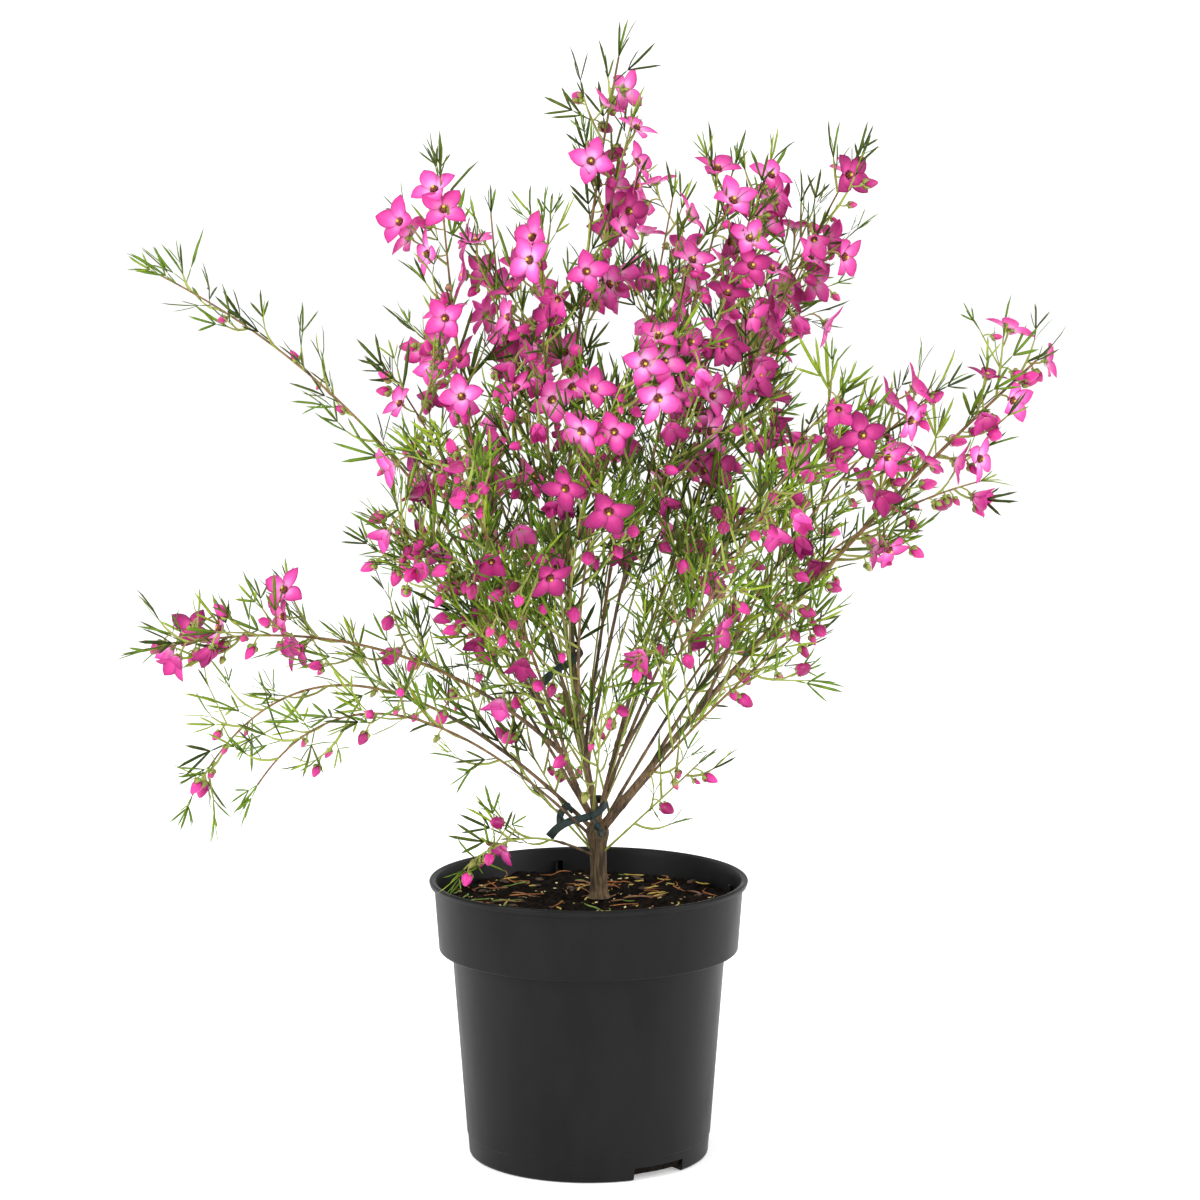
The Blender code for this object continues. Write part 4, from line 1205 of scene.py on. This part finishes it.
def makeTies():
    # dark green nylon, moulded: slightly glossy, with faint flow marks
    material, tree, shader = newMaterial("darkGreenNylon", "#22302F", 0.42, Specular_IOR_Level=0.3)
    flow = placeNoise(tree, 3 * mm)
    tree.links.new(blendColours(tree, flow.outputs[0], "#182423", "#283A38"), shader.inputs["Base Color"])
    addBump(tree, shader, flow.outputs[0], 0.1 * mm, 0.3)
    straps = [strapShape(points, ties["steps"]) for points in ties["routes"]]
    mesh = joinShapes("stemClips", straps)
    mesh.set_sharp_from_angle(angle=math.radians(60))
    addPiece("stemClips", mesh, material, "charcoal_plastic")


# The pot: a moulded wall with a rolled rim, a collar, a tapering body and drain notches in its foot

pot = {
    "collarTopRadius": 67.8 * mm, "collarFootRadius": 65.8 * mm, "collarFoot": 91.3 * mm,
    "bodyTopRadius": 60.0 * mm, "baseRadius": 52.9 * mm, "wall": 1.5 * mm, "floor": 2.2 * mm,
    "rimDepth": 3.2 * mm, "steps": 160, "notches": 2, "notchAngle": 36, "notchWidth": 26 * mm,
    "notchHeight": 5.5 * mm, "notchDepth": 9 * mm, "lugs": 4, "lugWidth": 2.4 * mm, "lugDepth": 2.2 * mm,
}


def arc(middle, radius, startDegrees, endDegrees, count):
    turns = [math.radians(startDegrees + (endDegrees - startDegrees) * n / count) for n in range(count + 1)]
    return [(middle[0] + radius * math.cos(turn), middle[1] + radius * math.sin(turn)) for turn in turns]


def turnedMesh(name, outline, steps):
    shape = bmesh.new()
    corners = [shape.verts.new((radius, 0, height)) for radius, height in outline]
    for above, below in zip(corners, corners[1:]):
        shape.edges.new((above, below))
    carrier = bpy.data.objects.new(name, bpy.data.meshes.new(name))
    shape.to_mesh(carrier.data)
    shape.free()
    bpy.context.scene.collection.objects.link(carrier)
    screw = carrier.modifiers.new("turn", "SCREW")
    screw.steps = screw.render_steps = steps
    screw.use_merge_vertices = True
    screw.merge_threshold = 0.00002
    mesh = evaluatedMesh(carrier)
    bpy.data.objects.remove(carrier, do_unlink=True)
    cleaned = bmesh.new()
    cleaned.from_mesh(mesh)
    bmesh.ops.remove_doubles(cleaned, verts=cleaned.verts, dist=0.02 * mm)
    bmesh.ops.recalc_face_normals(cleaned, faces=cleaned.faces)
    cleaned.to_mesh(mesh)
    cleaned.free()
    return mesh


def innerWall():
    wall = pot["wall"]
    return [(pot["baseRadius"] - wall, pot["floor"]), (pot["bodyTopRadius"] - wall, pot["collarFoot"] - 2 * mm),
            (pot["collarFootRadius"] - wall, pot["collarFoot"] + 1.4 * mm),
            (pot["collarTopRadius"] - wall, potTop - pot["rimDepth"])]


def makePot():
    rim = arc((potRadius - 1.0 * mm, potTop - 1.0 * mm), 1.0 * mm, 120, -25, 8)
    step = arc((pot["collarFootRadius"] - 0.9 * mm, pot["collarFoot"] + 0.9 * mm), 0.9 * mm, 5, -80, 6)
    neck = arc((pot["bodyTopRadius"] + 1.0 * mm, pot["collarFoot"] - 1.0 * mm), 1.0 * mm, 90, 175, 5)
    foot = arc((pot["baseRadius"] - 1.2 * mm, 1.2 * mm), 1.2 * mm, 4, -90, 6)
    mouldLine = [(pot["baseRadius"] + 0.95 * mm, 9.4 * mm), (pot["baseRadius"] + 0.62 * mm, 9.0 * mm),
                 (pot["baseRadius"] + 0.55 * mm, 8.2 * mm)]
    outline = [(0, pot["floor"])] + innerWall()
    outline += [(pot["collarTopRadius"] - pot["wall"] + 0.9 * mm, potTop - 0.7 * mm)]
    outline += rim + [(potRadius - 0.5 * mm, potTop - pot["rimDepth"] + 0.5 * mm)]
    outline += [(pot["collarTopRadius"], potTop - pot["rimDepth"])]
    outline += step + neck + mouldLine + foot + [(0, 0)]
    mesh = turnedMesh("nurseryPot", outline, pot["steps"])
    shell = bpy.data.objects.new("nurseryPotShell", mesh)
    bpy.context.scene.collection.objects.link(shell)
    cutters = bmesh.new()
    for number in range(pot["notches"]):
        angle = math.radians(pot["notchAngle"]) + number * 2 * pi / pot["notches"]
        block = bmesh.ops.create_cube(cutters, size=1)["verts"]
        size = Matrix.Diagonal((pot["notchWidth"], 2 * pot["notchDepth"], 2 * pot["notchHeight"], 1))
        place = Matrix.Rotation(angle, 4, "Z") @ Matrix.Translation((0, -pot["baseRadius"], 0))
        bmesh.ops.transform(cutters, matrix=place @ size, verts=block)
    cutter = bpy.data.objects.new("notches", bpy.data.meshes.new("notches"))
    cutters.to_mesh(cutter.data)
    cutters.free()
    bpy.context.scene.collection.objects.link(cutter)
    cut = shell.modifiers.new("notches", "BOOLEAN")
    cut.operation = "DIFFERENCE"
    cut.object = cutter
    made = evaluatedMesh(shell)
    for spent in (shell, cutter):
        bpy.data.objects.remove(spent, do_unlink=True)
    made.shade_smooth()
    made.set_sharp_from_angle(angle=math.radians(32))
    addPiece("nurseryPot", made, potPlastic(), "charcoal_plastic", "pot")
    makeLugs()


def potPlastic():
    # charcoal polypropylene, injection moulded: satin, with a fine mould grain, rub marks and dust
    material, tree, shader = newMaterial("charcoalPolypropylene", "#121213", 0.4, Specular_IOR_Level=0.14)
    shader.inputs["IOR"].default_value = 1.49
    rubbed = placeNoise(tree, 22 * mm, (1, 1, 0.35), 4)
    tree.links.new(blendColours(tree, rubbed.outputs[0], "#0E0E0F", "#161617"), shader.inputs["Base Color"])
    rough = addNode(tree, "ShaderNodeMapRange", {"Value": rubbed.outputs[0], "From Min": 0.3, "From Max": 0.7,
                                                 "To Min": 0.36, "To Max": 0.5})
    tree.links.new(rough.outputs[0], shader.inputs["Roughness"])
    grainNoise = placeNoise(tree, 0.7 * mm, detail=2)  # mould grain, drawn a little coarse so that it shows
    addBump(tree, shader, grainNoise.outputs[0], 0.05 * mm, 0.35)
    return material


def makeLugs():  # the upright stacking ribs inside the collar
    shapes = []
    low, high = pot["collarFoot"] + 3 * mm, potTop - 6 * mm
    for number in range(pot["lugs"]):
        shape = bmesh.new()
        bmesh.ops.create_cube(shape, size=1)
        radius = pot["collarFootRadius"] - pot["wall"] - pot["lugDepth"] / 2 + 0.9 * mm
        size = Matrix.Diagonal((pot["lugDepth"], pot["lugWidth"], high - low, 1))
        angle = math.radians(12) + number * 2 * pi / pot["lugs"]
        shape.transform(Matrix.Rotation(angle, 4, "Z") @ Matrix.Translation((radius, 0, (low + high) / 2)) @ size)
        bmesh.ops.bevel(shape, geom=shape.edges[:], offset=0.5 * mm, segments=2, affect="EDGES", profile=0.5)
        shapes.append(shape)
    addPiece("stackingRibs", joinShapes("stackingRibs", shapes), bpy.data.materials["charcoalPolypropylene"],
             "charcoal_plastic", "pot")


# The potting mix: a crumbly disc with bark chips, rootlets, dead leaves and pale grains on it

soil = {"top": 113.5 * mm, "edgeDrop": 2.0 * mm, "levelRadius": 16 * mm, "segments": 150, "rings": 56,
        "relief": 2.6 * mm, "clearance": 0.25 * mm}


def soilHeight(radius, angle):
    place = Vector((math.cos(angle) * radius, math.sin(angle) * radius, 0))
    edge = max(0, (radius - soil["levelRadius"]) / (potRadius - soil["levelRadius"]))
    lumps = noise.fractal(place / (9 * mm), 0.8, 2.2, 4) * soil["relief"]
    crumbs = noise.fractal(place / (2.2 * mm) + Vector((7, 3, 1)), 0.7, 2.0, 3) * soil["relief"] * 0.45
    return soil["top"] - soil["edgeDrop"] * edge + (lumps + crumbs) * min(1, radius / (8 * mm) + 0.4) - 0.4 * mm


def makeSoil():
    (lowRadius, low), (stepRadius, stepAt), (ledgeRadius, ledge), (lipRadius, lip) = innerWall()
    under = soil["top"] - soil["edgeDrop"]
    edge = ledgeRadius + (lipRadius - ledgeRadius) * (under - ledge) / (lip - ledge) - soil["clearance"]
    shape = bmesh.new()
    rings = []
    for ring in range(1, soil["rings"] + 1):
        radius = edge * ring / soil["rings"]
        line = []
        for number in range(soil["segments"]):
            angle = number * 2 * pi / soil["segments"]
            line.append(shape.verts.new((radius * math.cos(angle), radius * math.sin(angle),
                                         soilHeight(radius, angle))))
        rings.append(line)
    for radius, height in ((ledgeRadius, ledge), (stepRadius, stepAt), (lowRadius, low)):
        inset = radius - soil["clearance"]
        rings.append([shape.verts.new((inset * math.cos(n * 2 * pi / soil["segments"]),
                                       inset * math.sin(n * 2 * pi / soil["segments"]), height + soil["clearance"]))
                      for n in range(soil["segments"])])
    middle = shape.verts.new((0, 0, soilHeight(0, 0)))
    count = soil["segments"]
    for number in range(count):
        shape.faces.new((middle, rings[0][number], rings[0][(number + 1) % count]))
        for inner, outer in zip(rings, rings[1:]):
            shape.faces.new((inner[number], outer[number], outer[(number + 1) % count], inner[(number + 1) % count]))
    shape.faces.new(rings[-1])
    # moist bark and peat crumbs, nearly black, with brown fibres
    material, tree, shader = newMaterial("moistPottingMix", "#1C1712", 0.88, Specular_IOR_Level=0.08)
    crumbs = placeNoise(tree, 2.6 * mm, detail=6, roughness=0.7)
    tree.links.new(blendColours(tree, crumbs.outputs[0], "#090706", "#2E2218", 0.45, 0.76),
                   shader.inputs["Base Color"])
    fine = placeNoise(tree, 0.9 * mm, detail=4)
    addBump(tree, shader, fine.outputs[0], 0.6 * mm, 0.9)
    addPiece("pottingMix", meshFrom("pottingMix", shape), material, "potting_mix", "soil")
    return edge


debris = {
    # each kind: how many, and its colours
    "barkChips": (22, ("#34241A", "#5C4230")),
    "rootlets": (26, ("#8A5228", "#B87840")),
    "brownTwigs": (26, ("#6A4630", "#9C7450")),
    "strawBits": (44, ("#C0A040", "#E4CC6A")),
    "greenBits": (16, ("#5E7A2E", "#86A044")),
    "paleGrains": (150, ("#CDB45E", "#F0E4A8")),
}


def chipMesh(number):
    shape = bmesh.new()
    bmesh.ops.create_icosphere(shape, subdivisions=2, radius=1)
    dice = random.Random(f"chip {number}")
    sizes = (dice.uniform(2.2, 4.6) * mm, dice.uniform(1.4, 2.6) * mm, dice.uniform(0.6, 1.2) * mm)
    for corner in shape.verts:
        corner.co *= 1 + 0.35 * noise.noise(corner.co * 1.7 + Vector((number * 3.1, 0, 0)))
    shape.transform(Matrix.Diagonal((*sizes, 1)))
    return meshFrom(f"chip{number}", shape, smooth=False)


def stickMesh(name, number, length, radius, bend, sides=5):
    dice = random.Random(f"{name} {number}")
    shape = bmesh.new()
    rings = []
    steps = 7
    sway = [dice.uniform(-1, 1) * bend for _ in range(3)]
    for step in range(steps + 1):
        share = step / steps
        x = (share - 0.5) * length
        y = (math.sin(share * pi) * sway[0] + math.sin(share * 2 * pi) * sway[1]) * length
        z = abs(math.sin(share * pi * 1.5)) * abs(sway[2]) * length * 0.3
        wide = radius * (1.1 - 0.5 * share) * (0.25 if step in (0, steps) else 1)
        rings.append([shape.verts.new((x, y + wide * math.cos(k * 2 * pi / sides),
                                       z + wide * math.sin(k * 2 * pi / sides))) for k in range(sides)])
    for lower, upper in zip(rings, rings[1:]):
        for k in range(sides):
            shape.faces.new((lower[k], lower[(k + 1) % sides], upper[(k + 1) % sides], upper[k]))
    shape.faces.new(rings[0])
    shape.faces.new(rings[-1])
    return meshFrom(f"{name}{number}", shape)


def makeDebris(edge):
    shapeLists = {
        "barkChips": [chipMesh(number) for number in range(4)],
        "rootlets": [stickMesh("rootlet", n, (16 + 5 * n) * mm, 0.3 * mm, 0.3) for n in range(3)],
        "brownTwigs": [stickMesh("brownTwig", n, (8 + 6 * n) * mm, 0.45 * mm, 0.06) for n in range(3)],
        "strawBits": [stickMesh("straw", n, (5 + 4 * n) * mm, 0.38 * mm, 0.14) for n in range(3)],
        "greenBits": [stickMesh("greenBit", n, (8 + 5 * n) * mm, 0.42 * mm, 0.10) for n in range(2)],
        "paleGrains": [chipMesh(number + 9) for number in range(2)],
    }
    for number, (name, (count, (dark, light))) in enumerate(debris.items()):
        dice = random.Random(name)
        rows = []
        while len(rows) < count:
            radius = (edge - 3 * mm) * math.sqrt(dice.random())
            angle = dice.uniform(0, 2 * pi)
            if radius < 6 * mm:
                continue
            reach = 12 * mm if name in ("rootlets", "brownTwigs", "strawBits", "greenBits") else 3 * mm
            inward = angle + pi / 2 if radius > edge - reach else dice.uniform(0, 2 * pi)
            lift = 0.5 * mm if name != "paleGrains" else 0.2 * mm
            place = Vector((math.cos(angle) * radius, math.sin(angle) * radius, soilHeight(radius, angle) + lift))
            turn = (dice.uniform(-0.15, 0.15), dice.uniform(-0.12, 0.12), inward + dice.uniform(-0.3, 0.3))
            scale = dice.uniform(0.7, 1.1) if name != "paleGrains" else dice.uniform(0.1, 0.3)
            rows.append(Row(place, turn, scale, dice.randrange(len(shapeLists[name]))))
        # dry litter: dull, each kind in its own brown, straw or green
        material, tree, shader = newMaterial(f"{name}Litter", light, 0.8)
        patches = placeNoise(tree, 4 * mm)
        tree.links.new(blendColours(tree, patches.outputs[0], dark, light), shader.inputs["Base Color"])
        shapes = shapeSet(f"{name}Shape", shapeLists[name])
        sprayPiece(name, rows, shapes, material, "potting_mix", ["soil"], seed=40 + number)
        dropShapes(shapes)


makeStudio()
makeWood()
makeTies()
makeLeaves()
makeFlowers()
makeBuds()
makePot()
makeDebris(makeSoil())

triangles = 0
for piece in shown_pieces():
    piece.data.calc_loop_triangles()
    triangles += len(piece.data.loop_triangles)
print("triangles:", triangles)
